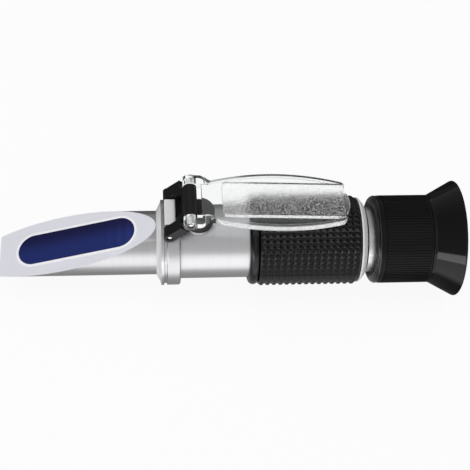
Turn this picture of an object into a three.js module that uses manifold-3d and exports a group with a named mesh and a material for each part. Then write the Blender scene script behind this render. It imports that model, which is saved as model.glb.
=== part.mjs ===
// Hand refractometer for antifreeze, in millimetres, +Z up.
// It lies on the rim of its eyecup with the slanted prism face up. The optical axis runs along X,
// from the nose at low X to the eyecup at high X. The lid is swung open, back over the tube.
import * as THREE from "three";
import { mergeVertices } from "three/addons/utils/BufferGeometryUtils.js";
import Module from "manifold-3d";

const wasm = await Module();
wasm.setup();

// Counts
const outerSides = 32;
const innerSides = 20;
const capSides = 24;
const smallSides = 12;
const arcSteps = 4;
const lensSteps = 3;
const ringSectionSides = 6;

// Clearances, and the overrun of every cut
const slideFit = 0.25;
const faceGap = 0.1;
const turnedGap = 0.3;
const overrun = 2;

// Nose: a round bar cut by the slanted prism face
const nose = { radius: 11.1, length: 54.6, faceCrossing: 22.2, faceAngle: 19 };
const lightBore = { radius: 7.2, front: 38 };
const flange = { coneLength: 1.55, coneRadius: 14.2, lipRadius: 15, lipWidth: 1.05, lipChamfer: 0.3 };
const spigot = { radius: 10.7, length: 7.2 };

// Prism window in the slanted face: a slot with round ends, placed along the face from its crossing
const prism = { rear: 26.8, front: -17, halfWidth: 6, depth: 9, floor: -8.4, exitFace: 44.5, exitRoof: 4.2 };
const seal = { width: 0.55, depth: 1.2 };

// Hinge collar and the block on its top
const collar = { neckRadius: 14.2, neckWidth: 0.8, radius: 14.8, bandWidth: 4.7, cornerRadius: 0.8 };
const hingeBlock = { halfWidth: 5.2, length: 3.7, top: 19.2, root: 12, edge: 0.4 };

// Link between collar and lid, drawn along the line of its two pins
const link = {
  pinX: 59, pinHeight: 17.3, openAngle: 47, pinSpacing: 10, halfThickness: 1.8, halfWidth: 9.7,
  heelRadius: 2, armEnd: 7, slotEnd: 3.3, slotClearance: 0.35, barrelRadius: 2.3, barrelHalfWidth: 6,
};
const linkWindow = { start: 4.4, end: 7.7, halfWidth: 4.25 };
const linkChamfer = { start: 4.9, height: 0.4 };
const hingePin = { radius: 0.8, recess: 0.2 };

// Lid, drawn from its pin towards the free end, with the prism side up as it lies open
const lid = {
  openTilt: -2.8, length: 52.4, kneeX: 3.2, neckX: 7, neckHalfWidth: 7.4, bulgeX: 29.5, bulgeHalfWidth: 10.5,
  cornerCut: 0.9, bottom: -0.85, plateTop: 0.5, top: 2.85, wall: 1.05, knuckleRadius: 2.35, notchEnd: 3.9,
  armTop: 1.9, rampStart: 4.6, rampEnd: 6.4,
};
const lidPad = { start: 10.6, end: 51.7, halfWidth: 6.3, cornerRadius: 1.2 };
const thumbTab = { halfWidth: 3.9, length: 1.5, top: 1.2 };

// Main tube and its grip
const tube = { radius: 12.6, bore: 11, inCollar: 2.5, bareLength: 23.6, rearInset: 0.2 };
const grip = {
  noseRadius: 13.5, beadRadius: 15.2, beadWidth: 3.5, valleyRadius: 14.45, tipRadius: 15.75,
  sleeveRadius: 14.2, studRoot: 13.6, studPitch: 2.28, rearRadius: 14.9, rearMargin: 0.6,
};
const studColumns = 15;
const studRows = 48;

// Bright ring behind the grip, and the barrel of the eyepiece
const endRing = { width: 2.1, frontRadius: 14.9, rearRadius: 13, frontLand: 0.5 };
const barrel = { radius: 11.45, bore: 10, spigotRadius: 10.75, spigotLength: 4.3 };
const oRing = {
  land: 0.9, sectionRadius: 0.28, pitchRadius: 11.3, grooveRadius: 10.72, grooveHalfWidth: 0.45,
};
const stopRing = { width: 1.6, radius: 12.7, rearGap: 0.1 };

// Focus ring
const focus = {
  standOff: 2, length: 20.6, radius: 15.5, noseRadius: 12.9, openingSetback: 0.95, lipLength: 8,
  counterbore: 13.2, recessRadius: 13.9, recessLength: 4.1, ribStart: 4.4, rearBand: 2.6, ribRoot: 15.15,
  grooveWidth: 0.45, grooveDepth: 0.4, frontRound: 2.6,
};
const ribCount = 96;
const focusTravel = { forward: 1.5, rearward: 3 };

// Eyecup
const cup = {
  length: 10.3, neckRadius: 15.5, neckWidth: 0.8, rimRadius: 20.4, rimRound: 0.45, wall: 1.35,
  baseThickness: 1.5, aperture: 7, spigotWall: 1.7, spigotLength: 2,
};

// Eyepiece: the cell that slides in the barrel, and what it holds
const cell = {
  radius: 9.7, bore: 8.9, lipBore: 7.8, lipWidth: 0.8, front: 2, flangeRadius: 13.6, flangeWidth: 1.5,
};
const eyeLens = { radius: 8.6, clearRadius: 7.3, edge: 1.8, sag: 1.2 };
const fieldLens = { radius: 8.6, clearRadius: 7.6, edge: 1.6, sag: 1.1 };
const spacer = { bore: 7.8, radius: 8.65 };
const eyeRing = { radius: 8.65, bore: 7.5, width: 1.1 };
const guidePin = { radius: 0.7, inset: 6, bottomRadius: 11.3, topRadius: 8.95 };

// Calibration screw, its seat on the tube and its cap
const screwSeat = {
  setback: 6.3, neckRadius: 3, neckBottom: 10.9, flangeRadius: 4.9, flangeTop: 14.6, collarRadius: 3.9,
  top: 17.2, headBore: 2.75, headFloor: 15.2, bore: 1.6,
};
const screw = {
  headRadius: 2.4, headHeight: 1.2, shankRadius: 1.3, tipRadius: 0.9, tipBottom: 9.7,
  slotWidth: 0.6, slotDepth: 0.5,
};
const cap = { radius: 5.1, top: 20.3, topRound: 1.3, crown: 0.3, skirtDepth: 3.1 };

// Objective cell and what it holds
const objective = {
  front: 1.8, radius: 10.35, bore: 8.5, lipBore: 7.5, lipWidth: 1.4, length: 7.4, tipPocket: 1.5,
};
const objectivePocketFloor = 9.3;
const objectiveLens = { radius: 8.25, clearRadius: 7.1, edge: 2.4, sag: 1.1 };
const objectiveRing = { radius: 8.25, bore: 7.3, width: 1.2, setback: 0.5 };

// Temperature strip under the light path, with its rivet
const strip = { length: 20, halfWidth: 2.5, thickness: 0.5, height: -9.5, rivetInset: 2.5 };
const rivet = { radius: 0.8, headRadius: 1.4, headHeight: 0.5, footGap: 0.15 };

// Field stop and reticle
const fieldStop = { standOff: 2.1, thickness: 1.5, bore: 6.5 };
const reticle = { radius: 9.6, thickness: 1.5 };
const reticleHolder = { setback: 12, length: 5.5, lipWidth: 1.5, lipBore: 8.4, clampWidth: 1.7 };
const innerFit = 0.25;

// Places along the axis, each from the piece in front of it
const flangeRear = nose.length + flange.coneLength + flange.lipWidth;
const collarFront = flangeRear + faceGap;
const bandFront = collarFront + collar.neckWidth;
const collarRear = bandFront + collar.bandWidth;
const tubeFront = collarRear - tube.inCollar;
const gripFront = collarRear + tube.bareLength;
const studFront = gripFront + grip.beadWidth;
const studRear = studFront + studColumns * grip.studPitch;
const gripRear = studRear + grip.rearMargin;
const tubeRear = gripRear - tube.rearInset;
const endRingFront = gripRear + faceGap + faceGap;
const endRingRear = endRingFront + endRing.width;
const barrelShoulder = tubeRear + faceGap;
const focusFront = endRingRear + focus.standOff;
const focusRear = focusFront + focus.length;
const cupFront = focusRear + faceGap;
const cupRear = cupFront + cup.length;
const cellFront = focusFront + cell.front;
const flangeFront = focusRear - focus.recessLength + turnedGap;
const cellRear = flangeFront + cell.flangeWidth;
const barrelRear = flangeFront - focusTravel.forward - turnedGap - faceGap;
const guidePinX = barrelRear - guidePin.inset;
const guideSlotFront = guidePinX - focusTravel.forward - guidePin.radius - slideFit;
const oRingCentre = guideSlotFront - oRing.land - oRing.grooveHalfWidth;
const cupSpigotFront = cellRear + turnedGap;
const screwX = collarRear + screwSeat.setback;
const objectiveFront = flangeRear + spigot.length + objective.front;
const objectiveRear = objectiveFront + objective.length;
const tubeInnerRadius = tube.bore - innerFit;
const stripFront = objectiveRear + turnedGap;
const stripRear = stripFront + strip.length;
const rivetX = stripRear - strip.rivetInset;

// Solids and how they are joined

function solidOf(geometry) {
  const bare = geometry.index ? geometry.clone() : mergeVertices(geometry);
  bare.deleteAttribute("normal");
  bare.deleteAttribute("uv");
  const merged = mergeVertices(bare);
  const index = merged.index.array;
  const triangles = [];
  for (let i = 0; i < index.length; i += 3) {
    const [a, b, c] = [index[i], index[i + 1], index[i + 2]];
    if (a !== b && b !== c && c !== a) triangles.push(a, b, c);
  }
  const build = (corners) => new wasm.Manifold(new wasm.Mesh({
    numProp: 3,
    vertProperties: new Float32Array(merged.attributes.position.array),
    triVerts: new Uint32Array(corners),
  }));
  const solid = build(triangles);
  if (solid.volume() > 0) return solid;
  const turnedOver = [];
  for (let i = 0; i < triangles.length; i += 3) {
    turnedOver.push(triangles[i], triangles[i + 2], triangles[i + 1]);
  }
  return build(turnedOver);
}

function geometryOf(solid) {
  const mesh = solid.getMesh();
  const positions = new Float32Array(mesh.numVert * 3);
  for (let i = 0; i < mesh.numVert; i += 1) {
    for (let k = 0; k < 3; k += 1) positions[i * 3 + k] = mesh.vertProperties[i * mesh.numProp + k];
  }
  const geometry = new THREE.BufferGeometry();
  geometry.setAttribute("position", new THREE.BufferAttribute(positions, 3));
  geometry.setIndex(new THREE.BufferAttribute(new Uint32Array(mesh.triVerts), 1));
  geometry.computeVertexNormals();
  return geometry;
}

function join(first, ...others) {
  return others.reduce((sum, next) => sum.add(next), first);
}

function cut(first, ...others) {
  return others.reduce((rest, next) => rest.subtract(next), first);
}

// A hole with flat sides keeps its full radius at the middle of each side
function holeRadius(radius, sides) {
  return radius / Math.cos(Math.PI / sides);
}

// A profile of [place, radius] pairs turned about its axis; a ring's profile closes on itself
function lathe(profile, sides) {
  const onAxis = profile[0][1] === 0 && profile[profile.length - 1][1] === 0;
  const points = onAxis ? profile : [...profile, profile[0]];
  return new THREE.LatheGeometry(points.map(([place, radius]) => new THREE.Vector2(radius, place)), sides);
}

// The same about the X axis
function turned(profile, sides = innerSides) {
  const geometry = lathe(profile, sides);
  geometry.rotateZ(-Math.PI / 2);
  return solidOf(geometry);
}

// The same about the Z axis, moved to a place on X
function turnedUpright(profile, x, sides = capSides) {
  const geometry = lathe(profile, sides);
  geometry.rotateX(Math.PI / 2);
  geometry.translate(x, 0, 0);
  return solidOf(geometry);
}

function tubeBetween(from, to, outer, bore, sides = innerSides) {
  return turned([[from, bore], [from, outer], [to, outer], [to, bore]], sides);
}

function rodAlongX(from, to, radius, sides = innerSides) {
  return turned([[from, 0], [from, radius], [to, radius], [to, 0]], sides);
}

function rodAlongY(x, z, halfLength, radius, sides = smallSides) {
  const geometry = new THREE.CylinderGeometry(radius, radius, halfLength * 2, sides);
  geometry.translate(x, 0, z);
  return solidOf(geometry);
}

function boxBetween([x0, x1], [y0, y1], [z0, z1]) {
  const geometry = new THREE.BoxGeometry(x1 - x0, y1 - y0, z1 - z0);
  geometry.translate((x0 + x1) / 2, (y0 + y1) / 2, (z0 + z1) / 2);
  return solidOf(geometry);
}

// An outline in X and Z, as thick as twice halfWidth across the object
function sidePlate(shape, halfWidth) {
  const geometry = new THREE.ExtrudeGeometry(shape, {
    depth: halfWidth * 2, bevelEnabled: false, curveSegments: arcSteps,
  });
  geometry.rotateX(Math.PI / 2);
  geometry.translate(0, halfWidth, 0);
  return solidOf(geometry);
}

// An outline in X and Y, between two heights
function flatPlate(shape, bottom, top) {
  const geometry = new THREE.ExtrudeGeometry(shape, {
    depth: top - bottom, bevelEnabled: false, curveSegments: arcSteps,
  });
  geometry.translate(0, 0, bottom);
  return solidOf(geometry);
}

function outline(points) {
  return new THREE.Shape(points.map(([x, y]) => new THREE.Vector2(x, y)));
}

// Points of an arc, from one angle to another in quarter turns
function arc(centre, radius, fromQuarter, toQuarter, steps = arcSteps) {
  const points = [];
  for (let i = 0; i <= steps; i += 1) {
    const angle = (fromQuarter + ((toQuarter - fromQuarter) * i) / steps) * (Math.PI / 2);
    points.push([centre[0] + radius * Math.cos(angle), centre[1] + radius * Math.sin(angle)]);
  }
  return points;
}

// Height of the slanted face over the axis, and a solid moved onto that face
const faceTurn = THREE.MathUtils.degToRad(nose.faceAngle);

function placedOnFace(geometry) {
  geometry.rotateY(-faceTurn);
  geometry.translate(nose.faceCrossing, 0, 0);
  return solidOf(geometry);
}

// A slot shape with round ends along the slanted face
function windowShape(margin) {
  const half = prism.halfWidth + margin;
  const shape = new THREE.Shape();
  shape.absarc(prism.rear - prism.halfWidth, 0, half, -Math.PI / 2, Math.PI / 2, false);
  shape.absarc(prism.front + prism.halfWidth, 0, half, Math.PI / 2, (Math.PI * 3) / 2, false);
  return shape;
}

function windowSolid(margin, depth, rise) {
  const geometry = new THREE.ExtrudeGeometry(windowShape(margin), {
    depth: depth + rise, bevelEnabled: false, curveSegments: arcSteps + arcSteps,
  });
  geometry.translate(0, 0, -depth);
  return placedOnFace(geometry);
}

function prismHousing() {
  const body = turned([
    [0, 0], [0, nose.radius], [nose.length, nose.radius],
    [nose.length + flange.coneLength, flange.coneRadius],
    [nose.length + flange.coneLength, flange.lipRadius - flange.lipChamfer],
    [nose.length + flange.coneLength + flange.lipChamfer, flange.lipRadius],
    [flangeRear - flange.lipChamfer, flange.lipRadius], [flangeRear, flange.lipRadius - flange.lipChamfer],
    [flangeRear, spigot.radius], [flangeRear + spigot.length, spigot.radius], [flangeRear + spigot.length, 0],
  ], outerSides);
  const reach = nose.length + flangeRear;
  const above = new THREE.BoxGeometry(reach * 2, nose.radius * 4, reach);
  above.translate(0, 0, reach / 2);
  const window = windowSolid(seal.width, prism.depth + seal.width, overrun);
  const roomForPrism = cut(window, boxBetween(
    [-overrun, reach], [-nose.radius, nose.radius], [-nose.radius * 2, prism.floor - faceGap],
  ));
  const aboveFace = placedOnFace(above).intersect(boxBetween(
    [-overrun, nose.length], [-nose.radius * 2, nose.radius * 2], [-nose.radius * 2, nose.radius * 2],
  ));
  const bore = rodAlongX(lightBore.front, flangeRear + spigot.length + overrun, lightBore.radius);
  return cut(body, aboveFace, roomForPrism, bore);
}

// The glass steps in below its seal, and its exit face is cut square behind
function mainPrism() {
  const glass = windowSolid(-faceGap, prism.depth, 0);
  const below = boxBetween(
    [-overrun, nose.length * 2], [-nose.radius, nose.radius], [-nose.radius * 2, prism.floor],
  );
  const behind = boxBetween(
    [prism.exitFace, nose.length * 2], [-nose.radius, nose.radius], [-nose.radius * 2, prism.exitRoof],
  );
  return cut(glass, below, behind);
}

function prismSeal() {
  const inner = windowSolid(0, seal.depth + overrun, overrun);
  return cut(windowSolid(seal.width - faceGap, seal.depth, 0), inner);
}

// Collar ring with rounded corners and the hinge block that its pin goes through
function hingeCollar() {
  const round = collar.cornerRadius;
  const ring = turned([
    [collarFront, spigot.radius + slideFit], [collarFront, collar.neckRadius], [bandFront, collar.neckRadius],
    ...arc([bandFront + round / 2, collar.radius - round / 2], round / 2, 2, 1, 1),
    ...arc([collarRear - round, collar.radius - round], round, 1, 0, 2),
    [collarRear, tube.radius + slideFit], [tubeFront - faceGap, tube.radius + slideFit],
    [tubeFront - faceGap, spigot.radius + slideFit],
  ], outerSides);
  const { halfWidth, top, edge, root, length } = hingeBlock;
  const rear = collarFront + length;
  const blockShape = outline([
    [collarFront, root], [rear, root], [rear, top - edge], [rear - edge, top], [collarFront + edge, top],
    [collarFront, top - edge],
  ]);
  const bore = rodAlongX(collarFront - overrun, collarRear + overrun, tube.radius + slideFit, outerSides);
  const block = cut(sidePlate(blockShape, halfWidth), bore);
  const pinHole = rodAlongY(
    link.pinX, link.pinHeight, halfWidth + overrun, holeRadius(hingePin.radius + faceGap, smallSides),
  );
  return cut(join(ring, block), pinHole);
}

// Link: a flat plate with a slot for the block, a window and a barrel, pin to pin along X
function hingeBracket() {
  const { halfThickness, halfWidth, heelRadius, pinSpacing, slotEnd, barrelRadius } = link;
  const bar = outline([
    [0, -halfThickness], [link.armEnd, -halfThickness], [link.armEnd, halfThickness], [0, halfThickness],
  ]);
  const neck = outline([
    [link.armEnd - halfThickness, -halfThickness], [pinSpacing, -halfThickness],
    [pinSpacing, halfThickness], [link.armEnd - halfThickness, halfThickness],
  ]);
  const plate = join(
    sidePlate(bar, halfWidth), rodAlongY(0, 0, halfWidth, heelRadius, capSides),
    sidePlate(neck, link.barrelHalfWidth),
    rodAlongY(pinSpacing, 0, link.barrelHalfWidth, barrelRadius, capSides),
  );
  const slotHalf = hingeBlock.halfWidth + link.slotClearance;
  const through = [-overrun * 2, overrun * 2];
  const slot = boxBetween([-heelRadius - overrun, slotEnd], [-slotHalf, slotHalf], through);
  const window = boxBetween(
    [linkWindow.start, linkWindow.end], [-linkWindow.halfWidth, linkWindow.halfWidth], through,
  );
  const chamferShape = outline([
    [slotEnd - overrun, linkChamfer.height], [slotEnd, linkChamfer.height],
    [linkChamfer.start, halfThickness], [linkChamfer.start, halfThickness + overrun],
    [slotEnd - overrun, halfThickness + overrun],
  ]);
  const chamfer = sidePlate(chamferShape, slotHalf);
  const knuckleRoom = rodAlongY(pinSpacing, 0, halfWidth + overrun, lid.knuckleRadius + turnedGap, capSides);
  const barrelKeep = boxBetween(
    [0, pinSpacing * 2], [-link.barrelHalfWidth, link.barrelHalfWidth], [-pinSpacing, pinSpacing],
  );
  const drill = holeRadius(hingePin.radius + slideFit, smallSides);
  return cut(
    plate, slot, window, chamfer, cut(knuckleRoom, barrelKeep),
    rodAlongY(0, 0, halfWidth + overrun, drill), rodAlongY(pinSpacing, 0, halfWidth + overrun, drill),
  );
}

// Side of the lid: straight at the knuckles, drawn in at the neck, then bulged along the prism
function lidSide(inset, start, end) {
  const rise = lid.bulgeHalfWidth - lid.neckHalfWidth;
  const drop = link.halfWidth - lid.neckHalfWidth;
  const middle = (lid.kneeX + lid.neckX) / 2;
  const knuckleSide = [
    [start, link.halfWidth - inset], [lid.kneeX, link.halfWidth - inset],
    [middle, link.halfWidth - drop / 2 - inset],
  ];
  const points = start < lid.neckX ? knuckleSide : [];
  const stations = arcSteps * 2;
  for (let i = 0; i <= stations; i += 1) {
    const x = lid.neckX + ((end - lid.neckX) * i) / stations;
    const share = (x - lid.bulgeX) / (lid.bulgeX - lid.neckX);
    points.push([x, lid.bulgeHalfWidth - rise * share * share - inset]);
  }
  return points;
}

function mirrored(points) {
  return points.map(([x, y]) => [x, -y]).reverse();
}

// Clear lid: a plate with side walls, the pad that spreads the sample, a notch and two knuckles
function daylightPlate() {
  const { cornerCut, bottom, plateTop, top, wall, length, knuckleRadius, notchEnd } = lid;
  const side = lidSide(0, 0, length - cornerCut);
  const endHalf = side[side.length - 1][1] - cornerCut;
  const half = [...side, [length, endHalf]];
  const whole = flatPlate(outline([...half, ...mirrored(half)]), bottom, top);
  const tabShape = outline([
    [length - overrun, -thumbTab.halfWidth], ...arc([0, 0], 1, -1, 1, arcSteps * 2).map(([x, y]) => [
      length + thumbTab.length * x, thumbTab.halfWidth * y,
    ]), [length - overrun, thumbTab.halfWidth],
  ]);
  const tab = flatPlate(tabShape, bottom, thumbTab.top);
  const notchHalf = link.barrelHalfWidth + turnedGap;
  const innerSide = lidSide(wall, lid.neckX, length + overrun);
  const troughHalf = [[-knuckleRadius - overrun, notchHalf], [lid.neckX - wall, notchHalf], ...innerSide];
  const trough = flatPlate(outline([...troughHalf, ...mirrored(troughHalf)]), plateTop, top + overrun);
  const notch = boxBetween(
    [-knuckleRadius - overrun, notchEnd], [-notchHalf, notchHalf], [bottom - overrun, top + overrun],
  );
  const step = outline([
    [-knuckleRadius - overrun, lid.armTop], [lid.rampStart, lid.armTop], [lid.rampEnd, top + overrun],
    [-knuckleRadius - overrun, top + overrun],
  ]);
  const padShape = new THREE.Shape();
  const { cornerRadius, start, end, halfWidth } = lidPad;
  const [cornerX, cornerY] = [start + cornerRadius, halfWidth - cornerRadius];
  padShape.absarc(cornerX, cornerY, cornerRadius, Math.PI / 2, Math.PI, false);
  padShape.absarc(cornerX, -cornerY, cornerRadius, Math.PI, Math.PI * 1.5, false);
  padShape.lineTo(end, -halfWidth);
  padShape.lineTo(end, halfWidth);
  const pad = flatPlate(padShape, (bottom + plateTop) / 2, top);
  const shell = cut(join(whole, tab), trough, sidePlate(step, link.halfWidth + overrun));
  const knuckles = cut(
    rodAlongY(0, 0, link.halfWidth, knuckleRadius, capSides),
    boxBetween([-overrun * 2, overrun * 2], [-notchHalf, notchHalf], [-overrun * 2, overrun * 2]),
  );
  const drill = rodAlongY(0, 0, link.halfWidth + overrun, holeRadius(hingePin.radius + slideFit, smallSides));
  return cut(join(cut(shell, notch), knuckles, pad), drill);
}

function mainTube() {
  const seatHole = holeRadius(screwSeat.neckRadius + slideFit, capSides);
  const body = tubeBetween(tubeFront, tubeRear, tube.radius, tube.bore, outerSides);
  return cut(body, rodAlongZ(screwX, 0, tube.radius + overrun, seatHole, capSides));
}

// Studs of the grip: a ring of square pyramids, each with its own peak
function studBand() {
  const positions = [];
  const index = [];
  const ring = (x, radius, offset) => {
    const first = positions.length / 3;
    for (let row = 0; row < studRows; row += 1) {
      const angle = ((row + offset) / studRows) * Math.PI * 2;
      positions.push(x, radius * Math.cos(angle), radius * Math.sin(angle));
    }
    return first;
  };
  const corners = [];
  const peaks = [];
  const share = 1 / 2;
  for (let i = 0; i <= studColumns; i += 1) {
    const x = studFront + i * grip.studPitch;
    corners.push(ring(x, grip.valleyRadius, 0));
    if (i < studColumns) peaks.push(ring(x + grip.studPitch * share, grip.tipRadius, share));
  }
  const frontRoot = ring(studFront, grip.studRoot, 0);
  const rearRoot = ring(studRear, grip.studRoot, 0);
  const quad = (a, b, row) => {
    const next = (row + 1) % studRows;
    index.push(a + row, b + row, b + next, a + row, b + next, a + next);
  };
  for (let row = 0; row < studRows; row += 1) {
    const next = (row + 1) % studRows;
    for (let i = 0; i < studColumns; i += 1) {
      const peak = peaks[i] + row;
      const [a, b] = [corners[i], corners[i + 1]];
      index.push(a + row, b + row, peak, b + row, b + next, peak);
      index.push(b + next, a + next, peak, a + next, a + row, peak);
    }
    quad(frontRoot, corners[0], row);
    quad(corners[studColumns], rearRoot, row);
    quad(rearRoot, frontRoot, row);
  }
  const geometry = new THREE.BufferGeometry();
  geometry.setAttribute("position", new THREE.BufferAttribute(new Float32Array(positions), 3));
  geometry.setIndex(index);
  return solidOf(geometry);
}

function rubberGrip() {
  const bore = tube.radius + slideFit;
  const beadHalf = grip.beadWidth / 2;
  const beadRise = grip.beadRadius - grip.noseRadius;
  const bead = arc([0, 0], 1, 2, 0).map(([x, y]) => [
    gripFront + beadHalf + beadHalf * x, grip.noseRadius + beadRise * y,
  ]);
  const sleeve = turned([
    [gripFront, bore], ...bead, [studFront, grip.sleeveRadius], [studRear, grip.sleeveRadius],
    [studRear, grip.rearRadius], [gripRear, grip.rearRadius], [gripRear, bore],
  ], outerSides);
  return join(sleeve, studBand());
}

function tubeEndRing() {
  return turned([
    [endRingFront, barrel.radius + slideFit], [endRingFront, endRing.frontRadius],
    [endRingFront + endRing.frontLand, endRing.frontRadius], [endRingRear, endRing.rearRadius],
    [endRingRear, barrel.radius + slideFit],
  ], outerSides);
}

// Barrel with a groove for its damping ring and a slot for the guide pin underneath
function eyepieceBarrel() {
  const spigotFront = barrelShoulder - barrel.spigotLength;
  const grooveFront = oRingCentre - oRing.grooveHalfWidth;
  const grooveRear = oRingCentre + oRing.grooveHalfWidth;
  const body = turned([
    [spigotFront, barrel.bore], [spigotFront, barrel.spigotRadius],
    [barrelShoulder, barrel.spigotRadius], [barrelShoulder, barrel.radius],
    [grooveFront, barrel.radius], [grooveFront, oRing.grooveRadius],
    [grooveRear, oRing.grooveRadius], [grooveRear, barrel.radius],
    [barrelRear, barrel.radius], [barrelRear, barrel.bore],
  ], outerSides);
  const room = guidePin.radius + slideFit;
  const slot = boxBetween(
    [guideSlotFront, guidePinX + focusTravel.rearward + room], [-room, room],
    [-barrel.radius - overrun, -barrel.bore + overrun],
  );
  return cut(body, slot);
}

function focusORing() {
  const section = arc([oRingCentre, oRing.pitchRadius], oRing.sectionRadius, 4, 0, ringSectionSides).slice(1);
  return turned(section, innerSides);
}

function barrelStopRing() {
  const rear = barrelRear - stopRing.rearGap;
  return tubeBetween(rear - stopRing.width, rear, stopRing.radius, barrel.radius + slideFit);
}

// Focus ring: a rounded nose, a groove, straight ribs and a stepped bore
function focusRing() {
  const lipBore = barrel.radius + turnedGap;
  const ribFront = focusFront + focus.ribStart;
  const ribRear = focusRear - focus.rearBand;
  const recessFront = focusRear - focus.recessLength;
  const grooveFront = ribFront - focus.grooveWidth;
  const grooveFloor = focus.radius - focus.grooveDepth;
  const body = turned([
    [focusFront + focus.openingSetback, lipBore], [focusFront, focus.noseRadius],
    ...arc([focusFront + focus.frontRound, focus.radius - focus.frontRound], focus.frontRound, 2, 1),
    [grooveFront, focus.radius], [grooveFront, grooveFloor],
    [ribFront, grooveFloor], [ribFront, focus.ribRoot], [ribRear, focus.ribRoot],
    [ribRear, focus.radius], [focusRear, focus.radius], [focusRear, focus.recessRadius],
    [recessFront, focus.recessRadius], [recessFront, focus.counterbore],
    [focusFront + focus.lipLength, focus.counterbore], [focusFront + focus.lipLength, lipBore],
  ], outerSides);
  const ribs = [];
  const steps = ribCount * 2;
  for (let i = 0; i < steps; i += 1) {
    const radius = i % 2 ? focus.radius : focus.ribRoot;
    const angle = (i / steps) * Math.PI * 2;
    ribs.push([radius * Math.cos(angle), radius * Math.sin(angle)]);
  }
  const shape = outline(ribs);
  const hole = new THREE.Path();
  hole.absarc(0, 0, (focus.counterbore + focus.ribRoot) / 2, 0, Math.PI * 2, true);
  shape.holes.push(hole);
  const geometry = new THREE.ExtrudeGeometry(shape, {
    depth: ribRear - ribFront, bevelEnabled: false, curveSegments: outerSides,
  });
  geometry.rotateY(Math.PI / 2);
  geometry.translate(ribFront, 0, 0);
  return join(body, solidOf(geometry));
}

// Eyecup: a spigot in the focus ring, a base with an aperture and a flared wall
function eyecup() {
  const spigotRadius = focus.recessRadius - turnedGap;
  const baseRear = cupFront + cup.baseThickness;
  const round = cup.rimRound;
  const slope = (cup.rimRadius - cup.neckRadius) / (cupRear - round - cupFront - cup.neckWidth);
  const innerBase = cup.neckRadius + slope * (baseRear - cupFront - cup.neckWidth) - cup.wall;
  return turned([
    [cupFront, cup.aperture], [cupFront, spigotRadius - cup.spigotWall],
    [cupSpigotFront, spigotRadius - cup.spigotWall], [cupSpigotFront, spigotRadius], [cupFront, spigotRadius],
    [cupFront, cup.neckRadius], [cupFront + cup.neckWidth, cup.neckRadius],
    ...arc([cupRear - round, cup.rimRadius - round], round, 1, 0, 2),
    [cupRear, cup.rimRadius - cup.wall - round / 2], [cupRear - round, cup.rimRadius - cup.wall - round],
    [baseRear, innerBase], [baseRear, cup.aperture],
  ], outerSides);
}

// A lens with bowed faces and a flat land round each
function lens(front, { radius, clearRadius, edge, sag }) {
  const bow = (apex, side) => {
    const points = [];
    for (let i = 0; i <= lensSteps; i += 1) {
      const share = i / lensSteps;
      points.push([apex + side * sag * share * share, clearRadius * share]);
    }
    points.push([apex + side * sag, radius]);
    return points;
  };
  const frontFace = bow(front, 1);
  const rearFace = bow(front + sag * 2 + edge, -1).reverse();
  return turned([...frontFace, ...rearFace], innerSides);
}

function eyepieceCell() {
  const lipRear = cellFront + cell.lipWidth;
  const body = turned([
    [cellFront, cell.lipBore], [cellFront, cell.radius], [flangeFront, cell.radius],
    [flangeFront, cell.flangeRadius], [cellRear, cell.flangeRadius], [cellRear, cell.bore],
    [lipRear, cell.bore], [lipRear, cell.lipBore],
  ]);
  const drill = holeRadius(guidePin.radius + faceGap, smallSides);
  return cut(body, rodAlongZ(guidePinX, -guidePin.bottomRadius - overrun, 0, drill));
}

function rodAlongZ(x, bottom, top, radius, sides = smallSides) {
  return turnedUpright([[bottom, 0], [bottom, radius], [top, radius], [top, 0]], x, sides);
}

function eyepieceGuidePin() {
  return rodAlongZ(guidePinX, -guidePin.bottomRadius, -guidePin.topRadius, guidePin.radius);
}

// Lens stack in the eyepiece cell, front to rear: field lens, spacer, eye lens, threaded ring
const fieldLensFront = cellFront + cell.lipWidth + faceGap - fieldLens.sag;
const fieldLensRear = fieldLensFront + fieldLens.sag + fieldLens.edge;
const eyeRingFront = cellRear - eyeRing.width;
const eyeLensRearEdge = eyeRingFront - faceGap;
const eyeLensFrontEdge = eyeLensRearEdge - eyeLens.edge;

function objectiveCell() {
  const lipRear = objectiveFront + objective.lipWidth;
  const body = turned([
    [objectiveFront, objective.lipBore], [objectiveFront, objective.radius],
    [objectiveRear, objective.radius], [objectiveRear, objective.bore],
    [lipRear, objective.bore], [lipRear, objective.lipBore],
  ]);
  return cut(body, rodAlongZ(screwX, objectivePocketFloor, tube.bore, objective.tipPocket));
}

const objectiveLensFront = objectiveFront + objective.lipWidth + faceGap - objectiveLens.sag;
const objectiveLensRear = objectiveLensFront + objectiveLens.sag + objectiveLens.edge;
const objectiveRingFront = objectiveLensRear + objectiveRing.setback;

function calibrationBoss() {
  const saddle = rodAlongX(screwX - screwSeat.flangeRadius * 2, screwX + screwSeat.flangeRadius * 2,
    tube.radius + faceGap, outerSides);
  const rim = turnedUpright([
    [0, screwSeat.bore], [0, screwSeat.flangeRadius], [screwSeat.flangeTop, screwSeat.flangeRadius],
    [screwSeat.flangeTop, screwSeat.bore],
  ], screwX);
  const neck = turnedUpright([
    [screwSeat.neckBottom, screwSeat.bore], [screwSeat.neckBottom, screwSeat.neckRadius],
    [screwSeat.flangeTop, screwSeat.neckRadius], [screwSeat.flangeTop, screwSeat.collarRadius],
    [screwSeat.top, screwSeat.collarRadius], [screwSeat.top, screwSeat.headBore],
    [screwSeat.headFloor, screwSeat.headBore], [screwSeat.headFloor, screwSeat.bore],
  ], screwX);
  return join(cut(rim, saddle), neck);
}

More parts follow.
